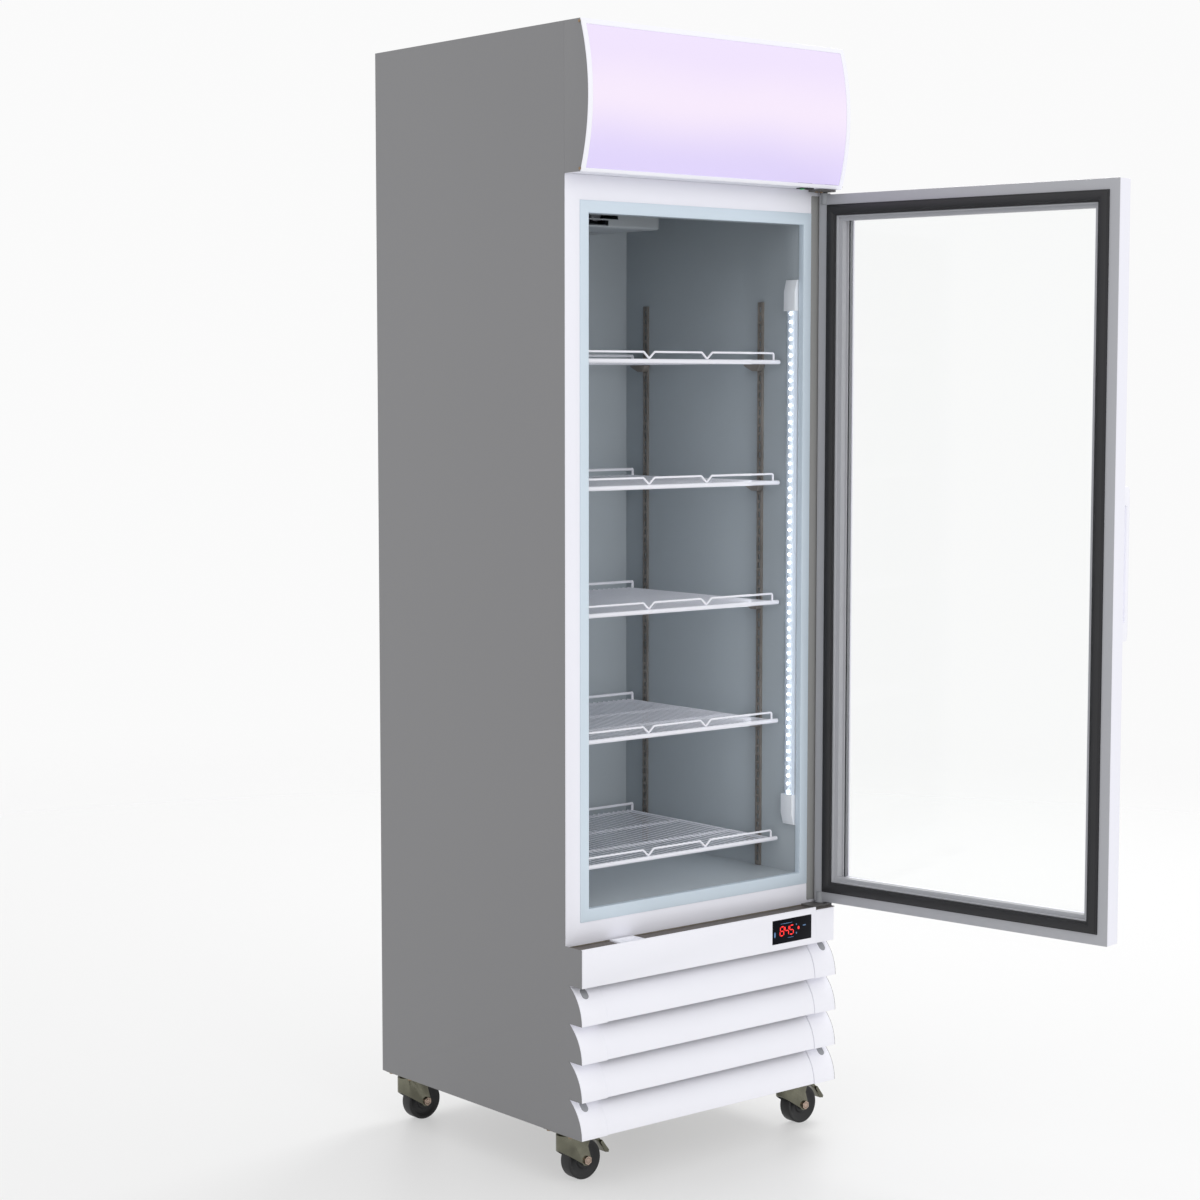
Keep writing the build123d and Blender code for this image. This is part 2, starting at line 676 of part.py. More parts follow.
with BuildPart() as lightbox_lens:
    curved_band(Plane.YZ.offset(-lens_half), lens_proud, lens_proud - lens_wall, lens_z[0], lens_z[1],
                2 * lens_half)
    for side in (-lens_half, lens_half - 2):
        curved_band(Plane.YZ.offset(side), 0.0, -trim_wall, lens_z[0], lens_z[1], 2.0)
save(lightbox_lens, "lightbox_lens")

with BuildPart() as lightbox_lamps:
    for tube_z in (1824.0, 1950.0):
        with Locations(Location((0, -282, tube_z), (0, 90, 0))):
            Cylinder(13, 560)
        for side in (-1, 1):
            with Locations((side * 286, -276, tube_z)):
                Box(10, 38, 34)
save(lightbox_lamps, "lightbox_lamps")

bezel = 2.0
with BuildPart() as switch_housing:
    box_between((switch_x - 15.5, switch_x + 15.5), (switch_y - 7, switch_y + 7),
                (header_bottom - bezel, header_bottom))
    box_between((switch_x - 13, switch_x + 13), (switch_y - 5.5, switch_y + 5.5),
                (header_bottom, header_bottom + 20))
    box_between((switch_x - 10.6, switch_x + 10.6), (switch_y - 4.4, switch_y + 4.4),
                (header_bottom - bezel, header_bottom + 12), mode=Mode.SUBTRACT)
    with BuildSketch(Plane.XZ.offset(4.4 - switch_y)):
        with Locations((switch_x, header_bottom + 3)):
            Circle(1.1)
    extrude(amount=-8.8)
save(switch_housing, "switch_housing")

rocker_tilt = 8.0
rocker_plane = Plane(origin=(switch_x, switch_y - 4, header_bottom + 3),
                     x_dir=(cos(radians(rocker_tilt)), 0, sin(radians(rocker_tilt))), z_dir=(0, 1, 0))
with BuildPart() as rocker_switch:
    with BuildSketch(rocker_plane):
        with BuildLine():
            Polyline((-9.4, 5.2), (0, 3.6), (9.4, 5.2), (9.4, 1.0), (5, -4.0), (-5, -4.0), (-9.4, 1.0),
                     close=True)
        make_face()
        Circle(1.3, mode=Mode.SUBTRACT)
    extrude(amount=8)
save(rocker_switch, "rocker_switch")

# ---------------------------------------------------------------- hinges

bracket_wall = 4.0
bracket_top = (header_bottom - bracket_wall, header_bottom)
bracket_low = (deck_top, deck_top + bracket_wall)
pin_length = 16.0

with BuildPart() as hinge_brackets:
    for left, z_range in ((268.0, bracket_top), (262.0, bracket_low)):
        box_between((left, inside), (-288, frame_y), z_range)
    fillet(hinge_brackets.edges().filter_by(Axis.Z).group_by(Axis.Y)[0], 5)
    with Locations((hinge_x, hinge_y, bracket_top[0] - pin_length / 2),
                   (hinge_x, hinge_y, bracket_low[1] + pin_length / 2)):
        Cylinder(pin_radius, pin_length)
save(hinge_brackets, "hinge_brackets")

# ---------------------------------------------------------------- door
# The door's own axes, at rest: along its width from the hinge, up, and inwards.

angle = radians(door_open_angle)
along = (-cos(angle), -sin(angle), 0)
inward = (-sin(angle), cos(angle), 0)
corner_dx = half_width - 1 - hinge_x
corner_dy = frame_y - door_gap - hinge_y
corner = (hinge_x + corner_dx * cos(angle) - corner_dy * sin(angle),
          hinge_y + corner_dx * sin(angle) + corner_dy * cos(angle), door_bottom)
door_plane = Plane(origin=corner, x_dir=along, z_dir=inward)
door_height = door_top - door_bottom
rebate = 40.0
step_edge = 48.5
glass_edge = 47.0
sight_edge = 52.0
inner_plate = 2.0
glass_inner = -23.0
glass_outer = -37.0
bush_radius = 7.0
bush_length = 18.0


def door_margin(margin):
    """Left, right, low and high edge at this distance inside the door's outline."""
    return (margin, door_width - margin, margin - 6 * (margin == sight_edge),
            door_height - margin + 8 * (margin == sight_edge))


def door_ring(outer, inner, depth_from, depth_to, mode=Mode.ADD):
    """A ring on the door between two margins and two depths from its inner face."""
    ring_between(door_plane.offset(depth_from), door_margin(outer), door_margin(inner),
                 depth_to - depth_from, mode)


door_axis_low = Plane(origin=(hinge_x, hinge_y, door_bottom), z_dir=(0, 0, 1))
door_axis_high = Plane(origin=(hinge_x, hinge_y, door_top), z_dir=(0, 0, -1))

with BuildPart() as door_frame:
    door_ring(0.0, rebate, glass_inner, -inner_plate)
    door_ring(0.0, glass_edge, glass_outer, glass_inner)
    door_ring(0.0, sight_edge, -door_thickness, glass_outer)
    long_edges = door_frame.edges().filter_by(Axis.Z)
    outer_edges = [edge for edge in long_edges if edge.length > door_height - 1]
    fillet([edge for edge in outer_edges
            if door_plane.to_local_coords(edge.center()).Z < -door_thickness + 1], 5)
    for axis_plane in (door_axis_low, door_axis_high):
        with BuildSketch(axis_plane):
            Circle(bush_radius)
        extrude(amount=bush_length, mode=Mode.SUBTRACT)
save(door_frame, "door_frame")

with BuildPart() as door_inner_frame:
    door_ring(0.0, rebate + 2, -inner_plate, 0.0)
    door_ring(rebate, rebate + 2, -6.6, -inner_plate)
    door_ring(rebate, step_edge, -8.6, -6.6)
    door_ring(step_edge - 2, step_edge, -21.0, -8.6)
    door_ring(step_edge - 2, sight_edge, glass_inner, -21.0)
    for axis_plane in (door_axis_low, door_axis_high):
        with BuildSketch(axis_plane):
            Circle(bush_radius)
        extrude(amount=bush_length, mode=Mode.SUBTRACT)
save(door_inner_frame, "door_inner_frame")

gasket_margin = (18.5, 39.5)
gasket_height = 8.6
with BuildPart() as door_gasket:
    door_ring(gasket_margin[0], gasket_margin[1], 0.0, gasket_height)
    crest = door_gasket.faces().sort_by(lambda face: door_plane.to_local_coords(face.center()).Z)[-1]
    chamfer(crest.edges(), 4.0)
save(door_gasket, "door_gasket")

pane = 4.0
with BuildPart() as door_glass_panes:
    for depth in (glass_inner - pane, glass_outer):
        with BuildSketch(door_plane.offset(depth)):
            with Locations((door_width / 2, door_height / 2)):
                Rectangle(door_width - 2 * glass_edge, door_height - 2 * glass_edge)
        extrude(amount=pane)
save(door_glass_panes, "door_glass_panes")

with BuildPart() as door_glass_spacer:
    door_ring(glass_edge, glass_edge + 5, glass_outer + pane, glass_inner - pane)
save(door_glass_spacer, "door_glass_spacer")

handle_z = (960.0, 1228.0)
handle_reach = 32.0
handle_bar = 12.0
handle_along = (587.0, 609.0)
handle_plane = Plane(origin=corner, x_dir=inward, z_dir=along).offset(handle_along[0])

with BuildPart() as door_handle:
    with BuildSketch(handle_plane):
        low, high = handle_z[0] - door_bottom, handle_z[1] - door_bottom
        face, tip = -door_thickness, -door_thickness - handle_reach
        with BuildLine():
            Polyline((face, -low), (tip + 6, -low), (tip, -low - 14), (tip, -high + 14), (tip + 6, -high),
                     (face, -high), (face, -high + 26), (tip + handle_bar, -high + 34),
                     (tip + handle_bar, -low - 34), (face, -low - 26), close=True)
        make_face()
    extrude(amount=handle_along[1] - handle_along[0])
    fillet(door_handle.edges().filter_by(Axis.Z), 3)
save(door_handle, "door_handle")

flange = 2.2
with BuildPart() as door_hinge_bushes:
    for plane, sign in ((door_axis_low, -1), (door_axis_high, -1)):
        with BuildSketch(plane):
            Circle(bush_radius)
            Circle(pin_radius + 0.05, mode=Mode.SUBTRACT)
        extrude(amount=bush_length)
        with BuildSketch(plane):
            Circle(9.5)
            Circle(pin_radius + 0.05, mode=Mode.SUBTRACT)
        extrude(amount=sign * flange)
save(door_hinge_bushes, "door_hinge_bushes")

# ---------------------------------------------------------------- shelves

rail_y = -198.0
rail_half = 250.5
rail_radius = 4.2
side_half = 240.0
shelf_back = 208.0
wire_radius = 1.1
bar_radius = 2.8
wire_count = 37
guard_rise = 16.5
upstand_rise = 15.0
guard_end = 236.5
dip_x = 69.5
dip_half = 13.0

with BuildPart() as shelf_grid:
    with Locations(Location((0, rail_y, 0), (0, 90, 0))):
        Cylinder(rail_radius, 2 * rail_half)
    with Locations(*[Location((0, bar_y, bar_z), (0, 90, 0)) for bar_y, bar_z in
                     ((-78.0, -0.6), (65.0, -0.6), (shelf_back, -0.6), (shelf_back, upstand_rise))]):
        Cylinder(bar_radius, 2 * side_half)
    with Locations(*[Location((side * side_half, (rail_y + shelf_back) / 2, -0.6), (90, 0, 0))
                     for side in (-1, 1)]):
        Cylinder(bar_radius, shelf_back - rail_y)
    with Locations(*[(side * side_half, shelf_back, upstand_rise / 2 - 0.3) for side in (-1, 1)]):
        Cylinder(bar_radius, upstand_rise)
    with BuildSketch(Plane.XZ.offset(-rail_y)):
        with Locations((0, bar_radius + 0.3)):
            with GridLocations(2 * side_half / (wire_count + 1), 1, wire_count, 1):
                Circle(wire_radius)
    extrude(amount=-(shelf_back - rail_y))
    with BuildLine():
        guard_path = FilletPolyline(
            (-guard_end, rail_y, 2), (-guard_end, rail_y, guard_rise),
            (-dip_x - dip_half, rail_y, guard_rise), (-dip_x, rail_y, rail_radius + 0.6),
            (-dip_x + dip_half, rail_y, guard_rise), (dip_x - dip_half, rail_y, guard_rise),
            (dip_x, rail_y, rail_radius + 0.6), (dip_x + dip_half, rail_y, guard_rise),
            (guard_end, rail_y, guard_rise), (guard_end, rail_y, 2), radius=3.5)
    with BuildSketch(Plane(origin=guard_path @ 0, z_dir=guard_path % 0)):
        Circle(2.0)
    sweep(path=guard_path)

for number, level in enumerate(shelf_levels, start=1):
    with BuildPart() as shelf:
        with Locations((0, 0, level)):
            add(shelf_grid.part)
    save(shelf, f"shelf_{number}")

# ---------------------------------------------------------------- casters

plate_thickness = 3.0
race_radius = 25.0
race_bottom = 86.3
fork_top = 86.0
fork_deck = 3.0
fork_wall = 2.0
fork_half = 17.0
nose = 31.0
axle_radius = 5.0
wheel_half = 12.0
caster_spots = {
    "front_left": (-caster_x, caster_front_y), "front_right": (caster_x, caster_front_y),
    "rear_left": (-caster_x, caster_rear_y), "rear_right": (caster_x, caster_rear_y),
}
plate_top = cabinet_base
king_pin = 6.0
plate_half = (36.0, 40.0)
bolt_grid = (52.0, 60.0)

with BuildPart() as caster_plates:
    for x, y in caster_spots.values():
        with BuildSketch(Plane.XY.offset(plate_top)):
            with Locations((x, y)):
                RectangleRounded(2 * plate_half[0], 2 * plate_half[1], 6)
        extrude(amount=-plate_thickness)
        with Locations((x, y, (plate_top - plate_thickness + race_bottom) / 2)):
            Cylinder(race_radius, plate_top - plate_thickness - race_bottom)
        with Locations((x, y, race_bottom - 5)):
            Cylinder(king_pin, 10)
        with Locations((x, y, fork_top - fork_deck - 2.4)):
            Cylinder(king_pin + 4, 3.4)
save(caster_plates, "caster_plates")


def fork_outline(half):
    """Plan of the fork: a rounded nose away from the wheel, open behind the axle."""
    turn = -nose + fork_half
    reach = wheel_trail + 13
    ThreePointArc((turn, half), (turn - half, 0), (turn, -half))
    Polyline((turn, -half), (reach, -half))
    Polyline((turn, half), (reach, half))
    Line((reach, half), (reach, -half))


def caster_fork(x, y):
    """The swivelling fork with its axle, at rest trailing towards +X."""
    home = Plane(origin=(x, y, 0))
    side = Plane(origin=(x, y, 0), x_dir=(1, 0, 0), z_dir=(0, -1, 0))
    with BuildPart() as fork:
        with BuildSketch(home.offset(31)):
            with BuildLine():
                fork_outline(fork_half)
            make_face()
        extrude(amount=fork_top - 31)
        with BuildSketch(home.offset(20)):
            with BuildLine():
                fork_outline(fork_half - fork_wall)
            make_face()
            with Locations((wheel_trail + 13, 0)):
                Rectangle(6, 2 * (fork_half - fork_wall))
        extrude(amount=fork_top - fork_deck - 20, mode=Mode.SUBTRACT)
        with BuildSketch(side):
            with BuildLine():
                Polyline((-60, 58), (-nose, 58), (wheel_trail - 9, 31), (wheel_trail - 9, 0),
                         (-60, 0), close=True)
            make_face()
            with BuildLine():
                Polyline((wheel_trail + 10, 24), (wheel_trail + 14, 24), (60, 24), (60, 84),
                         (wheel_trail + 12, 84), (wheel_trail + 4, 60), (wheel_trail + 10, 40), close=True)
            make_face()
        extrude(amount=40, both=True, mode=Mode.SUBTRACT)
        with BuildSketch(home.offset(fork_top)):
            Circle(king_pin + 0.05)
        extrude(amount=-8, mode=Mode.SUBTRACT)
        with BuildSketch(side.offset(fork_half + 5)):
            with Locations((wheel_trail, wheel_radius)):
                Circle(axle_radius)
        extrude(amount=-2 * (fork_half + 5))
        for face_offset in (fork_half + 5, -fork_half):
            with BuildSketch(side.offset(face_offset)):
                with Locations((wheel_trail, wheel_radius)):
                    RegularPolygon(8, 6)
            extrude(amount=-5)
        with BuildSketch(side.offset(fork_half)):
            with Locations((wheel_trail, wheel_radius)):
                Circle(10.5)
        extrude(amount=-fork_wall)
        with BuildSketch(side.offset(-fork_half + fork_wall)):
            with Locations((wheel_trail, wheel_radius)):
                Circle(10.5)
        extrude(amount=-fork_wall)
    return fork


def caster_wheel(x, y):
    """The wheel, turning about Y on the fork's axle."""
    with BuildPart() as wheel:
        with Locations(Location((x + wheel_trail, y, wheel_radius), (90, 0, 0))):
            Cylinder(wheel_radius, 2 * wheel_half)
        rims = wheel.edges().filter_by(GeomType.CIRCLE)
        fillet(rims, 4)
        for side in (-1, 1):
            with BuildSketch(Plane.XZ.offset(-(y + side * wheel_half))):
                with Locations((x + wheel_trail, wheel_radius)):
                    Circle(wheel_radius - 9)
                    Circle(11, mode=Mode.SUBTRACT)
            extrude(amount=side * 4, mode=Mode.SUBTRACT)
        with Locations(Location((x + wheel_trail, y, wheel_radius), (90, 0, 0))):
            Cylinder(axle_radius + 0.05, 60, mode=Mode.SUBTRACT)
    return wheel


pedal_pin = (25.0, 77.3)


def brake_pedal(x, y):
    """The foot brake lever that turns on a pin between the fork's cheeks."""
    side = Plane(origin=(x, y, 0), x_dir=(1, 0, 0), z_dir=(0, -1, 0))
    with BuildPart() as pedal:
        with BuildSketch(side.offset(9)):
            with BuildLine():
                Polyline((20, 80.5), (41, 80.5), (58, 66), (74, 44), (72.5, 38), (68.5, 40), (55, 61),
                         (39, 74), (20, 74.5), close=True)
            make_face()
        extrude(amount=-18)
        with BuildSketch(side.offset(13)):
            with BuildLine():
                Polyline((60, 64), (76, 43), (74.5, 39), (70, 40), (56, 60), close=True)
            make_face()
        extrude(amount=-26)
        with BuildSketch(side.offset(fork_half - fork_wall - 0.4)):
            with Locations(pedal_pin):
                Circle(3)
        extrude(amount=-2 * (fork_half - fork_wall - 0.4))
    return pedal


for corner_name, (x, y) in caster_spots.items():
    save(caster_fork(x, y), f"caster_fork_{corner_name}")
    save(caster_wheel(x, y), f"caster_wheel_{corner_name}")
    if corner_name.startswith("front"):
        save(brake_pedal(x, y), f"brake_pedal_{corner_name}")

# ---------------------------------------------------------------- fasteners

with BuildPart() as fasteners:
    for side in (-1, 1):
        for screw_y, screw_z in ((-296.5, 2009.0), (-297.5, 1765.0)):
            with BuildSketch(Plane.YZ.offset(side * (half_width + 1.2))):
                with Locations((screw_y, screw_z)):
                    Circle(2.6)
            extrude(amount=-side * 1.2)
    for rear_x in (-290, 0, 290):
        for rear_z in (440, 830, 1230, 1620, 2000, 410, 106):
            with BuildSketch(Plane.XZ.offset(-back_y)):
                with Locations((rear_x, rear_z)):
                    Circle(4.0)
            extrude(amount=-1.6)
    for x, y in caster_spots.values():
        with Locations((x, y, plate_top - plate_thickness)):
            with GridLocations(bolt_grid[0], bolt_grid[1], 2, 2):
                Cylinder(5.0, 4.0, align=(Align.CENTER, Align.CENTER, Align.MAX))
    for screw_x in (274.5, 286.0):
        with BuildSketch(Plane.XY.offset(bracket_top[0])):
            with Locations((screw_x, -270)):
                Circle(3.4)
        extrude(amount=-1.6)
save(fasteners, "fasteners")
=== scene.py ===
import json
import math

import bpy
from mathutils import Matrix, Vector


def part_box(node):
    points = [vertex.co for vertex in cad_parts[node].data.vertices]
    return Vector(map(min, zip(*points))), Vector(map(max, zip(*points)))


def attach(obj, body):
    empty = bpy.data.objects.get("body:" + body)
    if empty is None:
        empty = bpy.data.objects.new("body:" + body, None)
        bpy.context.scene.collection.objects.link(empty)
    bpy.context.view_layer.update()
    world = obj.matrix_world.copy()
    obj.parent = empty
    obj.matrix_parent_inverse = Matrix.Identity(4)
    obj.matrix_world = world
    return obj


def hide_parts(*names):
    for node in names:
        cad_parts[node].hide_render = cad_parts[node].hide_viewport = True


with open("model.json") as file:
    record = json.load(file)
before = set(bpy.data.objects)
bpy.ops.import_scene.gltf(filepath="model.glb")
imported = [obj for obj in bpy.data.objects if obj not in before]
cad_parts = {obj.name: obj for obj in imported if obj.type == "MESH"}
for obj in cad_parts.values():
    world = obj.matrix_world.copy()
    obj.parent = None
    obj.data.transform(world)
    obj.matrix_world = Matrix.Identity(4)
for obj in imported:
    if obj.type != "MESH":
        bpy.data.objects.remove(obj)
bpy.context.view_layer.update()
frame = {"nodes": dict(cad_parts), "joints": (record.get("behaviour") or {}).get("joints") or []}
mm = 0.001
print("frame loaded")


# small helpers for working by hand in object and edit mode

def deselectAll():
    bpy.ops.object.select_all(action="DESELECT")


def pickOnly(piece):
    deselectAll()
    piece.select_set(True)
    bpy.context.view_layer.objects.active = piece


def editMode(piece):
    pickOnly(piece)
    bpy.ops.object.mode_set(mode="EDIT")


def objectMode():
    bpy.ops.object.mode_set(mode="OBJECT")


def pickFaces(piece, test):
    # selects the faces whose centre and normal pass the test, and returns to edit mode
    bpy.ops.mesh.select_all(action="DESELECT")
    bpy.ops.mesh.select_mode(type="FACE")
    objectMode()
    for face in piece.data.polygons:
        face.select = test(face.center, face.normal)
    bpy.ops.object.mode_set(mode="EDIT")


def placeInMesh(piece):
    pickOnly(piece)
    bpy.ops.object.transform_apply(location=True, rotation=True, scale=True)


def applyModifiers(piece):
    pickOnly(piece)
    for modifier in list(piece.modifiers):
        bpy.ops.object.modifier_apply(modifier=modifier.name)


def roundEdges(piece, width, segments=2, angle=30):
    # a worked bevel on every sharp edge, then smooth shading up to the same angle
    bevel = piece.modifiers.new("rounded", "BEVEL")
    bevel.width = width
    bevel.segments = segments
    bevel.limit_method = "ANGLE"
    bevel.angle_limit = math.radians(angle)
    applyModifiers(piece)
    bpy.ops.object.shade_smooth_by_angle(angle=math.radians(angle + 5))


def joinPieces(pieces, name):
    deselectAll()
    for piece in pieces:
        piece.select_set(True)
    bpy.context.view_layer.objects.active = pieces[0]
    if len(pieces) > 1:
        bpy.ops.object.join()
    joined = bpy.context.view_layer.objects.active
    joined.name = name
    return joined


def setMaterial(piece, material):
    piece.data.materials.clear()
    piece.data.materials.append(material)


def finished(piece, body, slot, material, *nodes):
    setMaterial(piece, material)
    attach(piece, body)
    if nodes:
        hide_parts(*nodes)
    return piece


def outward(piece):
    editMode(piece)
    bpy.ops.mesh.select_all(action="SELECT")
    bpy.ops.mesh.remove_doubles(threshold=0.00001)
    bpy.ops.mesh.normals_make_consistent(inside=False)
    objectMode()


def addWall(piece, thickness):
    # gives a sheet its thickness behind the face that looks forward
    wall = piece.modifiers.new("wall", "SOLIDIFY")
    wall.thickness = thickness
    wall.offset = -1 if piece.data.polygons[0].normal.y < 0 else 1


def softCopy(node, width, body, slot, material, name=None, segments=2, angle=30):
    # a copy of a fixed node, merged and given rounded edges, that stands for it
    source = frame["nodes"][node]
    pickOnly(source)
    bpy.ops.object.duplicate()
    piece = bpy.context.active_object
    piece.name = name or node + "_finished"
    piece.parent = None
    for key in list(piece.keys()):
        if key.startswith("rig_"):
            del piece[key]
    bpy.ops.mesh.customdata_custom_splitnormals_clear()
    editMode(piece)
    bpy.ops.mesh.select_all(action="SELECT")
    bpy.ops.mesh.remove_doubles(threshold=0.00002)
    bpy.ops.mesh.dissolve_limited(angle_limit=math.radians(0.5))
    objectMode()
    if width > 0:
        roundEdges(piece, width, segments, angle)
    else:
        bpy.ops.object.shade_smooth_by_angle(angle=math.radians(40))
    return finished(piece, body, slot, material, node)


def paint(red, green, blue):
    # a colour as a screen shows it, 0 to 255, in the linear values that shaders take
    linear = []
    for value in (red, green, blue):
        level = value / 255
        linear.append(level / 12.92 if level <= 0.04045 else ((level + 0.055) / 1.055) ** 2.4)
    return (*linear, 1.0)


def addNode(material, kind, **settings):
    node = material.node_tree.nodes.new(kind)
    for key, value in settings.items():
        setattr(node, key, value)
    return node


finishBase = {"toneFrom": 0.3, "toneTo": 0.7, "cloudDetail": 4, "grainDetail": 2, "bump": 0.6}


def makeFinish(name, colour, rough, metal=0.0, grain=(900, 0.00003), cloud=(3.0, 0.04),
               roughChange=0.08, stretch=(1, 1, 1), coat=0.0, specular=0.5):
    # paint, plastic or metal: slow tone changes, a fine grain in the surface, uneven gloss
    material = bpy.data.materials.new(name)
    material.use_nodes = True
    links = material.node_tree.links
    shader = material.node_tree.nodes["Principled BSDF"]
    coordinates = addNode(material, "ShaderNodeTexCoord")
    mapping = addNode(material, "ShaderNodeMapping")
    mapping.inputs["Scale"].default_value = stretch
    links.new(coordinates.outputs["Object"], mapping.inputs["Vector"])
    clouds = addNode(material, "ShaderNodeTexNoise")
    clouds.inputs["Scale"].default_value = cloud[0]
    clouds.inputs["Detail"].default_value = finishBase["cloudDetail"]
    links.new(mapping.outputs["Vector"], clouds.inputs["Vector"])
    tones = addNode(material, "ShaderNodeValToRGB")
    darker, lighter = tones.color_ramp.elements
    darker.position, lighter.position = finishBase["toneFrom"], finishBase["toneTo"]
    darker.color = (*[c * (1 - cloud[1]) for c in colour[:3]], 1)
    lighter.color = (*[min(1, c * (1 + cloud[1])) for c in colour[:3]], 1)
    links.new(clouds.outputs["Fac"], tones.inputs["Fac"])
    links.new(tones.outputs["Color"], shader.inputs["Base Color"])
    fine = addNode(material, "ShaderNodeTexNoise")
    fine.inputs["Scale"].default_value = grain[0]
    fine.inputs["Detail"].default_value = finishBase["grainDetail"]
    links.new(mapping.outputs["Vector"], fine.inputs["Vector"])
    bump = addNode(material, "ShaderNodeBump")
    bump.inputs["Strength"].default_value = finishBase["bump"]
    bump.inputs["Distance"].default_value = grain[1]
    links.new(fine.outputs["Fac"], bump.inputs["Height"])
    links.new(bump.outputs["Normal"], shader.inputs["Normal"])
    gloss = addNode(material, "ShaderNodeMapRange")
    gloss.inputs["To Min"].default_value = max(0.02, rough - roughChange)
    gloss.inputs["To Max"].default_value = min(1, rough + roughChange)
    links.new(clouds.outputs["Fac"], gloss.inputs["Value"])
    links.new(gloss.outputs["Result"], shader.inputs["Roughness"])
    shader.inputs["Metallic"].default_value = metal
    shader.inputs["Coat Weight"].default_value = coat
    shader.inputs["Specular IOR Level"].default_value = specular
    return material


def makeGlow(name, colour, strength, cloudScale=40.0):
    # a lit surface whose brightness wanders a little
    material = makeFinish(name, colour, 0.4, cloud=(cloudScale, 0.05))
    shader = material.node_tree.nodes["Principled BSDF"]
    tones = [n for n in material.node_tree.nodes if n.type == "VALTORGB"][0]
    material.node_tree.links.new(tones.outputs["Color"], shader.inputs["Emission Color"])
    shader.inputs["Emission Strength"].default_value = strength
    return material


glassLook = {"gloss": 0.03, "steepness": 5, "lowAngle": 0.9, "waves": 2.0, "waveBump": 0.2,
             "waveDepth": 0.5 * mm}


def makeGlass(name, tint, mirror):
    # clear sheet: what is behind shows through, and the surface mirrors more at a low angle
    material = bpy.data.materials.new(name)
    material.use_nodes = True
    nodes, links = material.node_tree.nodes, material.node_tree.links
    nodes.remove(nodes["Principled BSDF"])
    output = nodes["Material Output"]
    clear = addNode(material, "ShaderNodeBsdfTransparent")
    clear.inputs["Color"].default_value = tint
    shine = addNode(material, "ShaderNodeBsdfGlossy")
    shine.inputs["Roughness"].default_value = glassLook["gloss"]
    shine.inputs["Color"].default_value = (1, 1, 1, 1)
    # the same from both sides of the sheet, so a low view still goes through it
    facing = addNode(material, "ShaderNodeLayerWeight")
    facing.inputs["Blend"].default_value = 0.5
    rise = addNode(material, "ShaderNodeMath", operation="POWER")
    rise.inputs[1].default_value = glassLook["steepness"]
    links.new(facing.outputs["Facing"], rise.inputs[0])
    edge = addNode(material, "ShaderNodeMath", operation="MULTIPLY_ADD")
    edge.inputs[1].default_value = glassLook["lowAngle"]
    edge.inputs[2].default_value = mirror
    links.new(rise.outputs["Value"], edge.inputs[0])
    coordinates = addNode(material, "ShaderNodeTexCoord")
    waves = addNode(material, "ShaderNodeTexNoise")
    waves.inputs["Scale"].default_value = glassLook["waves"]
    bump = addNode(material, "ShaderNodeBump")
    bump.inputs["Strength"].default_value = glassLook["waveBump"]
    bump.inputs["Distance"].default_value = glassLook["waveDepth"]
    links.new(coordinates.outputs["Object"], waves.inputs["Vector"])
    links.new(waves.outputs["Fac"], bump.inputs["Height"])
    links.new(bump.outputs["Normal"], shine.inputs["Normal"])
    mix = addNode(material, "ShaderNodeMixShader")
    links.new(edge.outputs["Value"], mix.inputs[0])
    links.new(clear.outputs["BSDF"], mix.inputs[1])
    links.new(shine.outputs["BSDF"], mix.inputs[2])
    links.new(mix.outputs["Shader"], output.inputs["Surface"])
    return material


greyPaint = makeFinish("grey powder coat", paint(127, 127, 129), 0.55, grain=(700, 0.00004),
                       cloud=(1.4, 0.02))
galvanised = makeFinish("galvanised sheet", paint(176, 178, 180), 0.42, metal=0.8, cloud=(60, 0.06))
whitePaint = makeFinish("white stove enamel", paint(238, 238, 246), 0.32, grain=(500, 0.00003),
                        cloud=(2, 0.012))
whiteMoulding = makeFinish("white moulded plastic", paint(243, 243, 250), 0.36, grain=(1200, 0.00002),
                           cloud=(4, 0.01))
paleTrim = makeFinish("pale blue trim plastic", paint(206, 219, 230), 0.35, grain=(1100, 0.00002))
linerPaint = makeFinish("liner sheet enamel", paint(164, 172, 178), 0.3, grain=(350, 0.00002),
                        cloud=(1.2, 0.015), roughChange=0.015)
coverMoulding = makeFinish("evaporator cover plastic", paint(172, 177, 181), 0.42, grain=(1000, 0.00002))
darkPaint = makeFinish("dark grey cover paint", paint(92, 90, 88), 0.45)
postPaint = makeFinish("hinge post paint", paint(146, 146, 145), 0.4, stretch=(1, 1, 0.2))
blackMoulding = makeFinish("black moulding", paint(26, 26, 28), 0.5)
greyMoulding = makeFinish("grey moulding", paint(150, 152, 156), 0.5)
bayPaint = makeFinish("machine bay paint", paint(96, 90, 86), 0.5, cloud=(8, 0.1))
finSheet = makeFinish("fin sheet", paint(186, 188, 190), 0.35, metal=1.0, stretch=(1, 1, 6))
compressorPaint = makeFinish("compressor black", paint(30, 30, 31), 0.38, grain=(300, 0.00008))
copperTube = makeFinish("copper tube", paint(190, 116, 78), 0.32, metal=1.0, cloud=(30, 0.15))
screwSteel = makeFinish("bronzed screw steel", paint(150, 128, 104), 0.35, metal=1.0, cloud=(60, 0.15))
darkSteel = makeFinish("dark slotted steel", paint(142, 136, 130), 0.4, metal=0.4, cloud=(24, 0.2))
foamFill = makeFinish("insulation foam", paint(156, 150, 134), 0.9, grain=(260, 0.0006), cloud=(12, 0.08))
doorWhite = makeFinish("white door profile", paint(236, 236, 245), 0.34, grain=(600, 0.00002),
                       stretch=(1, 1, 0.2))
doorGrey = makeFinish("grey door lining", paint(166, 167, 172), 0.3, grain=(900, 0.00002),
                      stretch=(1, 1, 0.15))
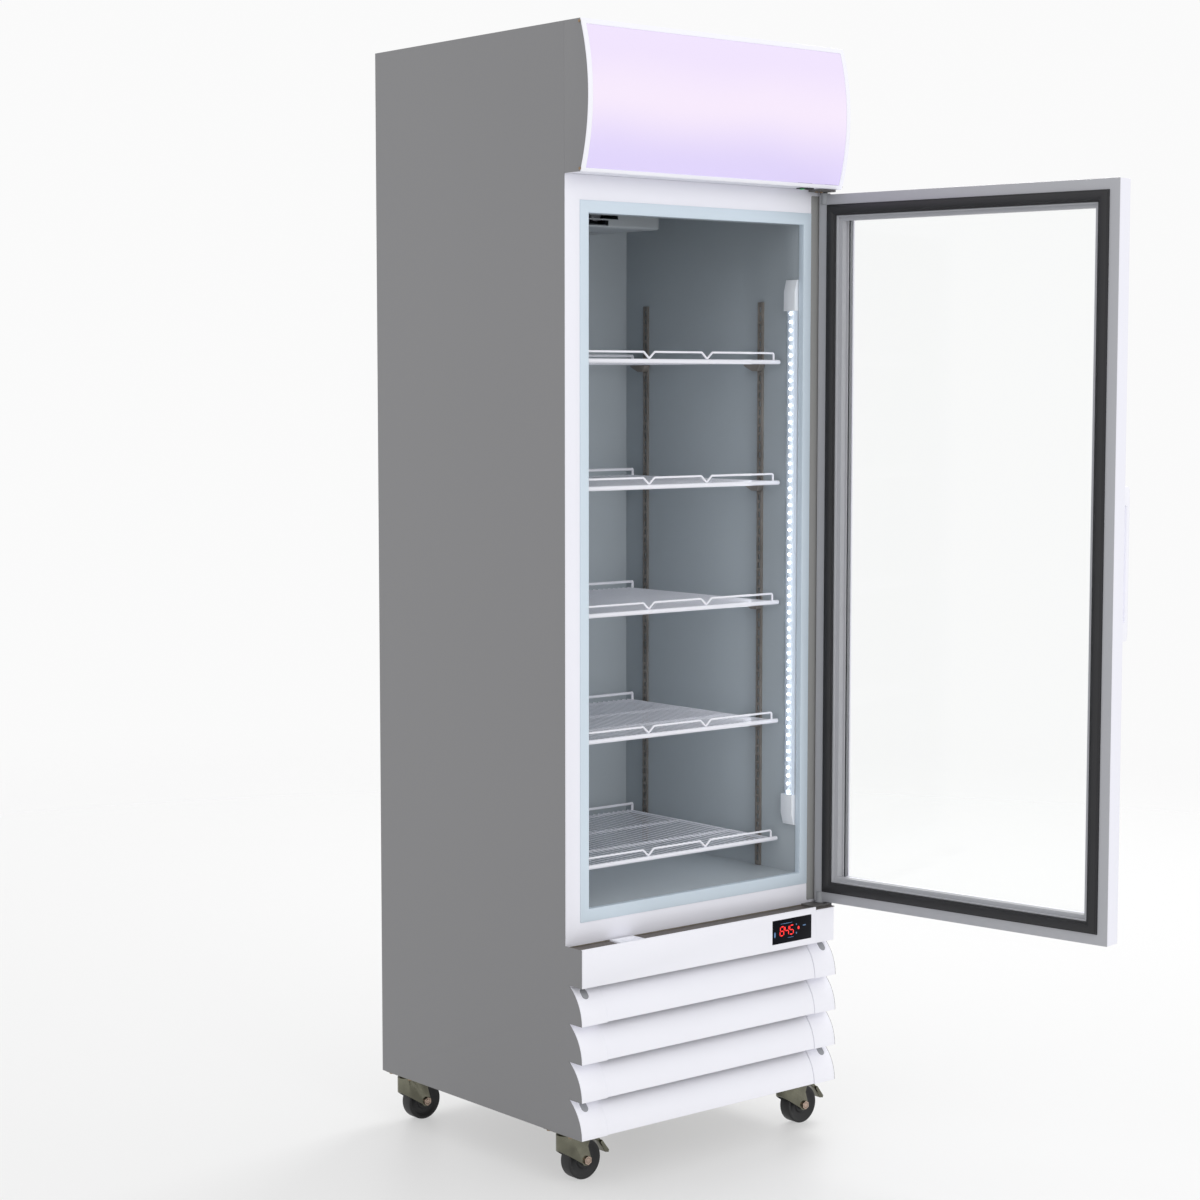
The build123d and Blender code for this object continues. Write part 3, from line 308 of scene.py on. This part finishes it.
gasketRubber = makeFinish("gasket rubber", paint(31, 31, 34), 0.6, grain=(1500, 0.00005), cloud=(18, 0.15))
spacerBar = makeFinish("glass spacer bar", paint(128, 130, 134), 0.4, metal=0.6, grain=(420, 0.00006))
coatedWire = makeFinish("white coated wire", paint(240, 240, 247), 0.25, grain=(700, 0.00004), coat=0.2)
zincPlate = makeFinish("zinc plated steel", paint(112, 111, 98), 0.2, metal=1.0, cloud=(36, 0.2),
                       roughChange=0.1)
nutMetal = makeFinish("axle nut metal", paint(182, 160, 146), 0.2, metal=1.0, cloud=(80, 0.15))
wheelRubber = makeFinish("wheel rubber", paint(20, 20, 22), 0.5, grain=(800, 0.00012), cloud=(30, 0.25))
clearCover = makeGlass("clear lamp cover", (0.96, 0.98, 1.0, 1), 0.017)
doorGlass = makeGlass("door glass", (0.996, 0.998, 0.997, 1), 0.0055)
displayFilm = makeFinish("black display film", paint(7, 8, 16), 0.4, grain=(300, 0.00001), cloud=(20, 0.3),
                         specular=0.08)
redSegments = makeGlow("red segments", paint(255, 44, 40), 0.9)
blueMarks = makeGlow("pale blue marks", paint(84, 118, 160), 0.18)
greenRocker = makeGlow("green rocker", paint(24, 170, 80), 0.45)
lampWhite = makeFinish("lamp channel white", paint(236, 240, 246), 0.35)
lampGlow = makeGlow("lamp lenses", paint(246, 250, 255), 4.5)
tubeGlow = makeGlow("lamp tubes", paint(244, 240, 255), 1.5)


signLook = {"violet": paint(226, 214, 253), "rose": paint(247, 234, 253), "pale": paint(240, 227, 253),
            "violetAt": 0.16, "roseAt": 0.62, "paleAt": 1.05, "glow": 0.76, "clouds": 5.0,
            "wander": 3.2, "sway": 0.22, "unlit": 0.2}


def makeSignGlow():
    # the sign's translucent sheet: violet low down, warmer and brightest a little above the middle
    material = makeGlow("sign sheet", signLook["pale"], signLook["glow"], signLook["clouds"])
    nodes, links = material.node_tree.nodes, material.node_tree.links
    shader = nodes["Principled BSDF"]
    low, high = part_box("lightbox_lens")
    split = addNode(material, "ShaderNodeSeparateXYZ")
    coordinates = [n for n in nodes if n.type == "TEX_COORD"][0]
    links.new(coordinates.outputs["Object"], split.inputs["Vector"])
    height = addNode(material, "ShaderNodeMapRange")
    height.inputs["From Min"].default_value = low.z
    height.inputs["From Max"].default_value = high.z
    links.new(split.outputs["Z"], height.inputs["Value"])
    wander = addNode(material, "ShaderNodeTexNoise")
    wander.inputs["Scale"].default_value = signLook["wander"]
    wander.inputs["Detail"].default_value = 1
    links.new(coordinates.outputs["Object"], wander.inputs["Vector"])
    sway = addNode(material, "ShaderNodeMath", operation="MULTIPLY_ADD")
    sway.inputs[1].default_value = signLook["sway"]
    links.new(wander.outputs["Fac"], sway.inputs[0])
    links.new(height.outputs["Result"], sway.inputs[2])
    bands = addNode(material, "ShaderNodeValToRGB")
    ramp = bands.color_ramp
    ramp.interpolation = "EASE"
    ramp.elements[0].position = signLook["violetAt"]
    ramp.elements[0].color = signLook["violet"]
    ramp.elements[1].position = signLook["paleAt"]
    ramp.elements[1].color = signLook["pale"]
    ramp.elements.new(signLook["roseAt"]).color = signLook["rose"]
    links.new(sway.outputs["Value"], bands.inputs["Fac"])
    dim = addNode(material, "ShaderNodeVectorMath", operation="SCALE")
    dim.inputs["Scale"].default_value = signLook["unlit"]
    links.new(bands.outputs["Color"], dim.inputs[0])
    links.new(dim.outputs["Vector"], shader.inputs["Base Color"])
    links.new(bands.outputs["Color"], shader.inputs["Emission Color"])
    return material


signSheet = makeSignGlow()
print("materials made")


# the lightbox: a bowed sign sheet inside a white trim
signShape = {"wall": 3.0 * mm, "bulge": 21.0 * mm, "steps": 32, "gap": 1.0 * mm, "recess": 1.0 * mm,
             "lean": 0.2 * mm, "edge": 0.5 * mm, "stub": 1.0 * mm}


def curvedSheet(xLow, xHigh, front, low, high, bulge, steps):
    # a sheet spun round a level axis, so that it bows towards the front between two heights
    chord = (high - low) / 2
    radius = (chord ** 2 + bulge ** 2) / (2 * bulge)
    half = math.asin(chord / radius)
    centre = Vector((0, front + radius - bulge, (low + high) / 2))
    start = Vector((0, centre.y - radius * math.cos(half), low))
    deselectAll()
    bpy.ops.mesh.primitive_plane_add(size=1, location=((xLow + xHigh) / 2, start.y, start.z))
    sheet = bpy.context.active_object
    sheet.scale = (xHigh - xLow, signShape["stub"], 1)
    placeInMesh(sheet)
    editMode(sheet)
    bpy.ops.mesh.select_all(action="SELECT")
    bpy.ops.mesh.remove_doubles(threshold=2 * signShape["stub"])      # leaves the one edge to spin
    bpy.ops.mesh.select_all(action="SELECT")
    bpy.ops.mesh.spin(steps=steps, angle=2 * half, center=centre, axis=(1, 0, 0))
    objectMode()
    return sheet


def cutSheet(sheet, planes, clear):
    # cuts along each plane, and clears what lies beyond them when asked
    editMode(sheet)
    for point, normal in planes:
        bpy.ops.mesh.select_all(action="SELECT")
        bpy.ops.mesh.bisect(plane_co=point, plane_no=normal, clear_outer=clear)
    objectMode()


def signPieces():
    trimLow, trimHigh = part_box("lightbox_trim")
    lensLow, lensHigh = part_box("lightbox_lens")
    bow = signShape["bulge"]
    front = trimLow.y + bow
    edges = [((0, 0, lensLow.z), (0, 0, -1)), ((0, 0, lensHigh.z), (0, 0, 1)),
             ((lensLow.x, 0, 0), (-1, 0, 0)), ((lensHigh.x, 0, 0), (1, 0, 0))]

    top = trimHigh.z - signShape["lean"]
    trim = curvedSheet(trimLow.x, trimHigh.x, front, trimLow.z, top, bow, signShape["steps"])
    cutSheet(trim, edges, False)
    editMode(trim)
    pickFaces(trim, lambda c, n: lensLow.x < c.x < lensHigh.x and lensLow.z < c.z < lensHigh.z)
    bpy.ops.mesh.delete(type="FACE")
    objectMode()
    outward(trim)
    addWall(trim, signShape["wall"])
    roundEdges(trim, signShape["edge"])
    trim.name = "sign_trim"
    finished(trim, "cabinet", "white_plastic", whiteMoulding, "lightbox_trim")

    lens = curvedSheet(trimLow.x, trimHigh.x, front + signShape["recess"], trimLow.z, trimHigh.z, bow,
                       signShape["steps"])
    inner = [(Vector(point) - Vector(normal) * signShape["gap"], normal) for point, normal in edges]
    cutSheet(lens, inner, True)
    outward(lens)
    addWall(lens, signShape["wall"])
    applyModifiers(lens)
    bpy.ops.object.shade_smooth_by_angle(angle=math.radians(35))
    lens.name = "sign_lens"
    finished(lens, "cabinet", "lens", signSheet, "lightbox_lens")


signPieces()
softCopy("lightbox_cheeks", 0.3 * mm, "cabinet", "grey_sheet", greyPaint)
softCopy("lightbox_case", 0.3 * mm, "cabinet", "white_sheet", whitePaint)
softCopy("switch_housing", 0.4 * mm, "cabinet", "dark_plastic", blackMoulding)
softCopy("rocker_switch", 0.4 * mm, "switch_rocker", "green_button", greenRocker)
print("lightbox made")


# the grille: louvers and end caps share one curve
louverShape = {"count": 4, "inset": 34.5 * mm, "wall": 2.0 * mm, "steps": 14, "lip": 5.0 * mm,
               "seam": 0.6 * mm, "recess": 1.2 * mm, "foot": 1.6 * mm, "footDrop": 1.2 * mm, "edge": 0.6 * mm}


def louverBlade(xLow, xHigh, front, top, drop):
    # a strip spun from its upright lower edge back to its top, with a small return under it
    radius = (drop ** 2 + louverShape["inset"] ** 2) / (2 * louverShape["inset"])
    angle = math.asin(drop / radius)
    wall = louverShape["wall"]
    bottom = top - drop
    start = bottom + louverShape["foot"]
    deselectAll()
    bpy.ops.mesh.primitive_plane_add(size=1, location=((xLow + xHigh) / 2, front + wall / 2, start))
    blade = bpy.context.active_object
    blade.scale = (xHigh - xLow, wall, 1)
    placeInMesh(blade)
    editMode(blade)
    bpy.ops.mesh.select_all(action="SELECT")
    bpy.ops.mesh.spin(steps=louverShape["steps"], angle=angle,
                      center=(0, front + radius, bottom), axis=(1, 0, 0))
    pickFaces(blade, lambda c, n: abs(c.z - start) < 0.0004 and abs(n.z) > 0.9)
    bpy.ops.mesh.extrude_region_move(TRANSFORM_OT_translate={"value": (0, 0, -louverShape["footDrop"])})
    pickFaces(blade, lambda c, n: c.z < start - 0.0003 and abs(n.y) > 0.9 and c.y > front + wall / 2)
    bpy.ops.mesh.extrude_region_move(TRANSFORM_OT_translate={"value": (0, louverShape["lip"], 0)})
    objectMode()
    outward(blade)
    return blade


def grillePieces():
    grilleTop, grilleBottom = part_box("control_fascia")[0].z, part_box("grille_end_caps")[0].z
    low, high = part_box("grille_louvers")
    drop = (grilleTop - grilleBottom) / louverShape["count"]
    seam, front = louverShape["seam"], low.y + louverShape["recess"]
    blades = [louverBlade(low.x + seam, high.x - seam, front, grilleTop - number * drop, drop)
              for number in range(louverShape["count"])]
    louvers = joinPieces(blades, "louver_blades")
    roundEdges(louvers, louverShape["edge"], 3)
    finished(louvers, "cabinet", "white_plastic", whiteMoulding, "grille_louvers")


grillePieces()
softCopy("grille_end_caps", 1.1 * mm, "cabinet", "white_plastic", whiteMoulding, segments=3)
softCopy("grille_screw_plugs", 0.6 * mm, "cabinet", "grey_plastic", greyMoulding)
softCopy("control_fascia", 0.8 * mm, "cabinet", "white_plastic", whiteMoulding, segments=3)
softCopy("door_strike", 0.4 * mm, "cabinet", "white_plastic", whiteMoulding)
softCopy("machine_bay_decks", 0.3 * mm, "cabinet", "bay_sheet", bayPaint)
print("grille made")


# the cabinet shell and doorway keep their shapes and get worked edges
softCopy("side_panels", 0.4 * mm, "cabinet", "grey_sheet", greyPaint)
softCopy("top_and_rear_panels", 0.3 * mm, "cabinet", "galvanised_sheet", galvanised)
softCopy("front_frame", 0.6 * mm, "cabinet", "white_sheet", whitePaint)
softCopy("breaker_frame", 0.7 * mm, "cabinet", "pale_plastic", paleTrim, segments=3)
softCopy("hinge_post_cover", 0.2 * mm, "cabinet", "dark_sheet", postPaint)
softCopy("inner_liner", 0.4 * mm, "cabinet", "liner_sheet", linerPaint)
softCopy("evaporator_cover", 1.2 * mm, "cabinet", "white_plastic", coverMoulding, segments=3)
softCopy("shelf_pilasters", 0.3 * mm, "cabinet", "dark_steel", darkSteel)
softCopy("shelf_clips", 0.8 * mm, "cabinet", "dark_steel", darkSteel)
softCopy("hinge_brackets", 0.5 * mm, "cabinet", "dark_sheet", darkPaint)
softCopy("cord_gland", 0.5 * mm, "cabinet", "dark_plastic", blackMoulding)
print("cabinet shell made")


# the door: places are from its hinge edge, and the gasket's rings run inwards
doorShape = {"openAngle": 100.0, "edgeToAxis": 11.0 * mm, "faceToAxis": 4.0 * mm, "width": 618.0 * mm,
             "gasketMargin": 18.5 * mm, "gasketEdge": 0.4 * mm}
gasketSteps = [(0.8, 3.4), (2.4, 0.6), (0.8, 2.2), (2.6, 1.2), (2.2, 0.9), (3.6, 0.2), (2.2, -0.9),
               (2.4, -1.4), (0.8, -2.0), (2.4, -0.6), (0.8, -3.6)]


def doorMatrix():
    # from the door's own axes (along its width, outwards, up) to where it stands open
    hinge = [j for j in frame["joints"] if j["name"] == "door_hinge"][0]
    angle = math.radians(doorShape["openAngle"])
    pin = Vector(hinge["pos_m"])
    side, face = doorShape["edgeToAxis"], doorShape["faceToAxis"]
    corner = Vector((pin.x + side * math.cos(angle) - face * math.sin(angle),
                     pin.y + side * math.sin(angle) + face * math.cos(angle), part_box("door_frame")[0].z))
    along = Vector((-math.cos(angle), -math.sin(angle), 0))
    out = Vector((math.sin(angle), -math.cos(angle), 0))
    turned = Matrix((along, out, Vector((0, 0, 1)))).transposed().to_4x4()
    return Matrix.Translation(corner) @ turned


def toDoor(piece):
    piece.matrix_world = doorMatrix()
    placeInMesh(piece)


def makeGasket():
    # a bellows profile, inset ring by ring from its outer lip to its inner one
    low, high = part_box("door_frame")
    height = high.z - low.z
    margin = doorShape["gasketMargin"]
    deselectAll()
    bpy.ops.mesh.primitive_plane_add(size=1, location=(doorShape["width"] / 2, 0, height / 2),
                                     rotation=(math.radians(90), 0, 0))
    gasket = bpy.context.active_object
    gasket.scale = (doorShape["width"] - 2 * margin, height - 2 * margin, 1)
    placeInMesh(gasket)
    editMode(gasket)
    bpy.ops.mesh.select_all(action="SELECT")
    for width, rise in gasketSteps:
        bpy.ops.mesh.inset(thickness=width * mm, depth=rise * mm, use_boundary=True)
    bpy.ops.mesh.delete(type="FACE")
    bpy.ops.mesh.select_mode(type="EDGE")
    bpy.ops.mesh.select_all(action="DESELECT")
    bpy.ops.mesh.select_non_manifold()
    bpy.ops.mesh.bridge_edge_loops()
    objectMode()
    outward(gasket)
    roundEdges(gasket, doorShape["gasketEdge"])
    toDoor(gasket)
    gasket.name = "door_seal"
    finished(gasket, "door", "gasket_rubber", gasketRubber, "door_gasket")


makeGasket()
softCopy("door_frame", 0.9 * mm, "door", "door_white", doorWhite, segments=3)
softCopy("door_inner_frame", 0.4 * mm, "door", "door_grey", doorGrey)
softCopy("door_handle", 2.2 * mm, "door", "white_plastic", whiteMoulding, segments=4)
softCopy("door_hinge_bushes", 0.2 * mm, "door", "grey_plastic", greyMoulding)
print("door made")


# the shelves: their wires are round already
for number in range(1, 6):
    softCopy(f"shelf_{number}", 0, f"shelf_{number}", "coated_wire", coatedWire,
             name=f"wire_shelf_{number}")
print("shelves made")


# the lamp strip on the right wall
lampShape = {"chips": 59, "step": 15.4 * mm, "dome": 3.2 * mm, "flatten": 0.55, "behindCover": 3.4 * mm}


def makeLampDomes():
    low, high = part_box("led_channel")
    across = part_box("led_cover")[0].x + lampShape["behindCover"]
    middle = Vector((across, (low.y + high.y) / 2, (low.z + high.z) / 2))
    domes = []
    for number in range(lampShape["chips"]):
        place = middle + Vector((0, 0, (number - lampShape["chips"] // 2) * lampShape["step"]))
        deselectAll()
        bpy.ops.mesh.primitive_uv_sphere_add(segments=10, ring_count=6, radius=lampShape["dome"],
                                             location=place)
        dome = bpy.context.active_object
        dome.scale = (lampShape["flatten"], 1, 1)
        domes.append(dome)
    lens = joinPieces(domes, "lamp_domes")
    placeInMesh(lens)
    bpy.ops.object.shade_smooth()
    finished(lens, "cabinet", "lamp_white", lampGlow)


makeLampDomes()
softCopy("led_channel", 0.4 * mm, "cabinet", "lamp_white", lampWhite)
print("lamps made")


# the controller's lit digits and marks, in millimetres on its front
displayShape = {"digitLow": 14.5, "digitHigh": 31.0, "digitWide": 9.6, "digitGap": 2.6, "firstDigit": 20.0,
                "stroke": 1.9, "thick": 0.5, "slant": 0.1, "numbers": "845", "border": 4.0, "sunk": 0.02,
                "plump": 1.15, "redDot": ((67, 24), (5.0, 5.6)),
                "marks": [((6.5, 18), (4.5, 10)), ((82, 27), (9, 2.2)), ((36, 36.5), (34, 0.9)),
                          ((47, 9), (18, 0.8)), ((61.5, 31), (2.6, 2.8)), ((61.5, 15), (3.2, 3.4))]}
segmentsOf = {"8": "abcdefg", "4": "bcfg", "5": "acdfg"}


def displayBar(centre, size):
    # a six-sided bar with cut corners, flat on the display
    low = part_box("controller_display")[0]
    border = displayShape["border"]
    place = (low.x + (border + centre[0]) * mm, low.y - displayShape["sunk"] * mm,
             low.z + (border + centre[1]) * mm)
    deselectAll()
    bpy.ops.mesh.primitive_cylinder_add(vertices=6, radius=0.5, depth=1, location=place,
                                        rotation=(math.radians(90), 0, 0))
    bar = bpy.context.active_object
    bar.scale = (size[0] * mm, size[1] * mm * displayShape["plump"], displayShape["thick"] * mm)
    placeInMesh(bar)
    return bar


def makeDisplay():
    shape = displayShape
    bars = []
    wide, stroke = shape["digitWide"], shape["stroke"]
    low, high = shape["digitLow"], shape["digitHigh"]
    middle, half = (low + high) / 2, (high - low) / 2
    places = {"a": (0.5, high, True), "g": (0.5, middle, True), "d": (0.5, low, True),
              "f": (0, middle + half / 2, False), "b": (1, middle + half / 2, False),
              "e": (0, middle - half / 2, False), "c": (1, middle - half / 2, False)}
    for number, digit in enumerate(shape["numbers"]):
        left = shape["firstDigit"] + number * (wide + shape["digitGap"])
        for key in segmentsOf[digit]:
            across, up, level = places[key]
            size = (wide - stroke, stroke) if level else (stroke, half - stroke * 0.6)
            bars.append(displayBar((left + across * wide + (up - middle) * shape["slant"], up), size))
    bars.append(displayBar(*shape["redDot"]))
    digits = joinPieces(bars, "display_digits")
    finished(digits, "cabinet", "display_black", redSegments)
    symbols = joinPieces([displayBar(*mark) for mark in shape["marks"]], "display_symbols")
    finished(symbols, "cabinet", "display_black", blueMarks)


makeDisplay()
softCopy("controller_display", 0.3 * mm, "cabinet", "display_black", displayFilm)
print("controller made")


# the casters: each ring is an inset's share of the radius and its depth
wheelShape = {"facets": 56, "edge": 1.6 * mm,
              "rings": [(0.144, 0), (0.09, -3.5 * mm), (0.306, 0), (0.018, 3.15 * mm), (0.126, 0)]}
nutShape = {"radius": 8.4 * mm, "depth": 5.4 * mm, "onFork": 2.4 * mm, "edge": 0.5 * mm,
            "rings": [(1.6 * mm, 0.3 * mm), (1.2 * mm, -0.9 * mm), (0.5 * mm, 0.9 * mm)]}


def makeWheel(corner):
    low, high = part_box("caster_wheel_" + corner)
    centre = (low + high) / 2
    radius, depth = (high.z - low.z) / 2, high.y - low.y
    deselectAll()
    bpy.ops.mesh.primitive_cylinder_add(vertices=wheelShape["facets"], radius=radius, depth=depth,
                                        location=centre, rotation=(math.radians(90), 0, 0))
    wheel = bpy.context.active_object
    placeInMesh(wheel)
    editMode(wheel)
    pickFaces(wheel, lambda c, n: abs(n.y) > 0.9)
    for share, rise in wheelShape["rings"]:
        bpy.ops.mesh.inset(thickness=share * radius, depth=rise, use_individual=True)
    objectMode()
    roundEdges(wheel, wheelShape["edge"], 3, 50)
    wheel.name = "caster_tyre_" + corner
    finished(wheel, "wheel_" + corner, "wheel_rubber", wheelRubber, "caster_wheel_" + corner)


def makeAxleNut(corner):
    # a hexagon nut with a domed end over the axle, on both sides of the fork
    low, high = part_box("caster_wheel_" + corner)
    forkLow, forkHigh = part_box("caster_fork_" + corner)
    centre = (low + high) / 2
    nuts = []
    onFork = nutShape["onFork"]
    for place, tilt in ((forkLow.y + onFork, 90), (forkHigh.y - onFork, -90)):
        deselectAll()
        bpy.ops.mesh.primitive_cylinder_add(vertices=6, radius=nutShape["radius"], depth=nutShape["depth"],
                                            location=(centre.x, place, centre.z),
                                            rotation=(math.radians(tilt), 0, 0))
        nut = bpy.context.active_object
        placeInMesh(nut)
        editMode(nut)
        outer = -1 if tilt > 0 else 1
        pickFaces(nut, lambda c, n: n.y * outer > 0.9)
        for width, rise in nutShape["rings"]:
            bpy.ops.mesh.inset(thickness=width, depth=rise)
        objectMode()
        nuts.append(nut)
    nut = joinPieces(nuts, "axle_nuts_" + corner)
    outward(nut)
    roundEdges(nut, nutShape["edge"])
    finished(nut, "fork_" + corner, "zinc", nutMetal)


for corner in ("front_left", "front_right", "rear_left", "rear_right"):
    makeWheel(corner)
    makeAxleNut(corner)
    softCopy("caster_fork_" + corner, 0.35 * mm, "fork_" + corner, "zinc", zincPlate)
for corner in ("front_left", "front_right"):
    softCopy("brake_pedal_" + corner, 0.8 * mm, "pedal_" + corner, "zinc", zincPlate)
softCopy("caster_plates", 0.4 * mm, "cabinet", "zinc", zincPlate)
print("casters made")


# these keep their own mesh and take a better finish
keptNodes = {
    "insulation_foam": foamFill, "evaporator_coil": finSheet, "evaporator_fan": greyMoulding,
    "fan_motors": darkPaint, "led_cover": clearCover, "compressor": compressorPaint,
    "condenser_coil": finSheet, "condenser_fan": greyMoulding, "drip_tray": greyMoulding,
    "refrigerant_pipes": copperTube, "lightbox_lamps": tubeGlow, "fasteners": screwSteel,
    "door_glass_panes": doorGlass, "door_glass_spacer": spacerBar,
}
for nodeName, material in keptNodes.items():
    setMaterial(frame["nodes"][nodeName], material)
print("kept nodes finished")


# floor, light and camera
stageLook = {"world": 0.96, "floorRadius": 9.0, "floorDrop": 0.5 * mm, "fadeFrom": 1.6, "fadeTo": 6.0,
             "floorTone": 0.34, "floorLift": 0.46, "floorGloss": 0.45, "floorShine": 0.15}
cameraLook = {"place": (-3.0195, -3.5949, 1.4031), "lens": 75.48, "sensor": 36, "tilt": 85.11, "turn": -39.86}
# each light: place, target, size across and along, watts, colour
lightLook = {"key": ((3.4, 1.6, 4.2), (0, 0, 0.9), (2.0, 2.0), 120, (1, 1, 1)),
             "fill": ((-0.6, -4.6, 3.4), (0, 0, 0.7), (2.4, 2.4), 26, (1, 1, 1)),
             "cabinet glow": ((0.2, -0.18, 1.08), (-0.1, 0.1, 1.08), (0.05, 1.0), 0.5, (0.94, 0.97, 1.0))}


def makeFloor():
    deselectAll()
    bpy.ops.mesh.primitive_circle_add(vertices=96, radius=stageLook["floorRadius"], fill_type="NGON",
                                      location=(0, 0, -stageLook["floorDrop"]))
    floor = bpy.context.active_object
    floor.name = "studio_floor"
    material = bpy.data.materials.new("studio floor")
    material.use_nodes = True
    nodes, links = material.node_tree.nodes, material.node_tree.links
    shader = nodes["Principled BSDF"]
    tone = stageLook["floorTone"]
    shader.inputs["Base Color"].default_value = (tone, tone, tone, 1)
    shader.inputs["Roughness"].default_value = stageLook["floorGloss"]
    shader.inputs["Specular IOR Level"].default_value = stageLook["floorShine"]
    shader.inputs["Emission Color"].default_value = (1, 1, 1, 1)
    shader.inputs["Emission Strength"].default_value = stageLook["floorLift"]
    coordinates = addNode(material, "ShaderNodeTexCoord")
    length = addNode(material, "ShaderNodeVectorMath", operation="LENGTH")
    links.new(coordinates.outputs["Object"], length.inputs[0])
    fade = addNode(material, "ShaderNodeMapRange", interpolation_type="SMOOTHSTEP")
    fade.inputs["From Min"].default_value = stageLook["fadeFrom"]
    fade.inputs["From Max"].default_value = stageLook["fadeTo"]
    links.new(length.outputs["Value"], fade.inputs["Value"])
    clear = addNode(material, "ShaderNodeBsdfTransparent")
    mix = addNode(material, "ShaderNodeMixShader")
    links.new(fade.outputs["Result"], mix.inputs[0])
    links.new(shader.outputs["BSDF"], mix.inputs[1])
    links.new(clear.outputs["BSDF"], mix.inputs[2])
    links.new(mix.outputs["Shader"], nodes["Material Output"].inputs["Surface"])
    setMaterial(floor, material)


def addAreaLight(name, place, target, size, watts, colour):
    light = bpy.data.lights.new(name, "AREA")
    light.energy = watts
    light.shape = "SQUARE" if size[0] == size[1] else "RECTANGLE"
    light.size, light.size_y = size
    light.color = colour
    lamp = bpy.data.objects.new(name, light)
    bpy.context.scene.collection.objects.link(lamp)
    lamp.location = place
    lamp.rotation_euler = (Vector(target) - Vector(place)).to_track_quat("-Z", "Y").to_euler()


def makeStage():
    world = bpy.data.worlds.new("studio")
    bpy.context.scene.world = world
    world.use_nodes = True
    background = world.node_tree.nodes["Background"]
    background.inputs["Color"].default_value = (1, 1, 1, 1)
    background.inputs["Strength"].default_value = stageLook["world"]
    makeFloor()
    for name, look in lightLook.items():
        addAreaLight(name, *look)
    camera = bpy.data.cameras.new("camera")
    camera.lens, camera.sensor_width = cameraLook["lens"], cameraLook["sensor"]
    view = bpy.data.objects.new("camera", camera)
    bpy.context.scene.collection.objects.link(view)
    view.location = cameraLook["place"]
    view.rotation_euler = (math.radians(cameraLook["tilt"]), 0, math.radians(cameraLook["turn"]))
    bpy.context.scene.camera = view
    bpy.context.scene.view_settings.view_transform = "Standard"


makeStage()
print("stage made")
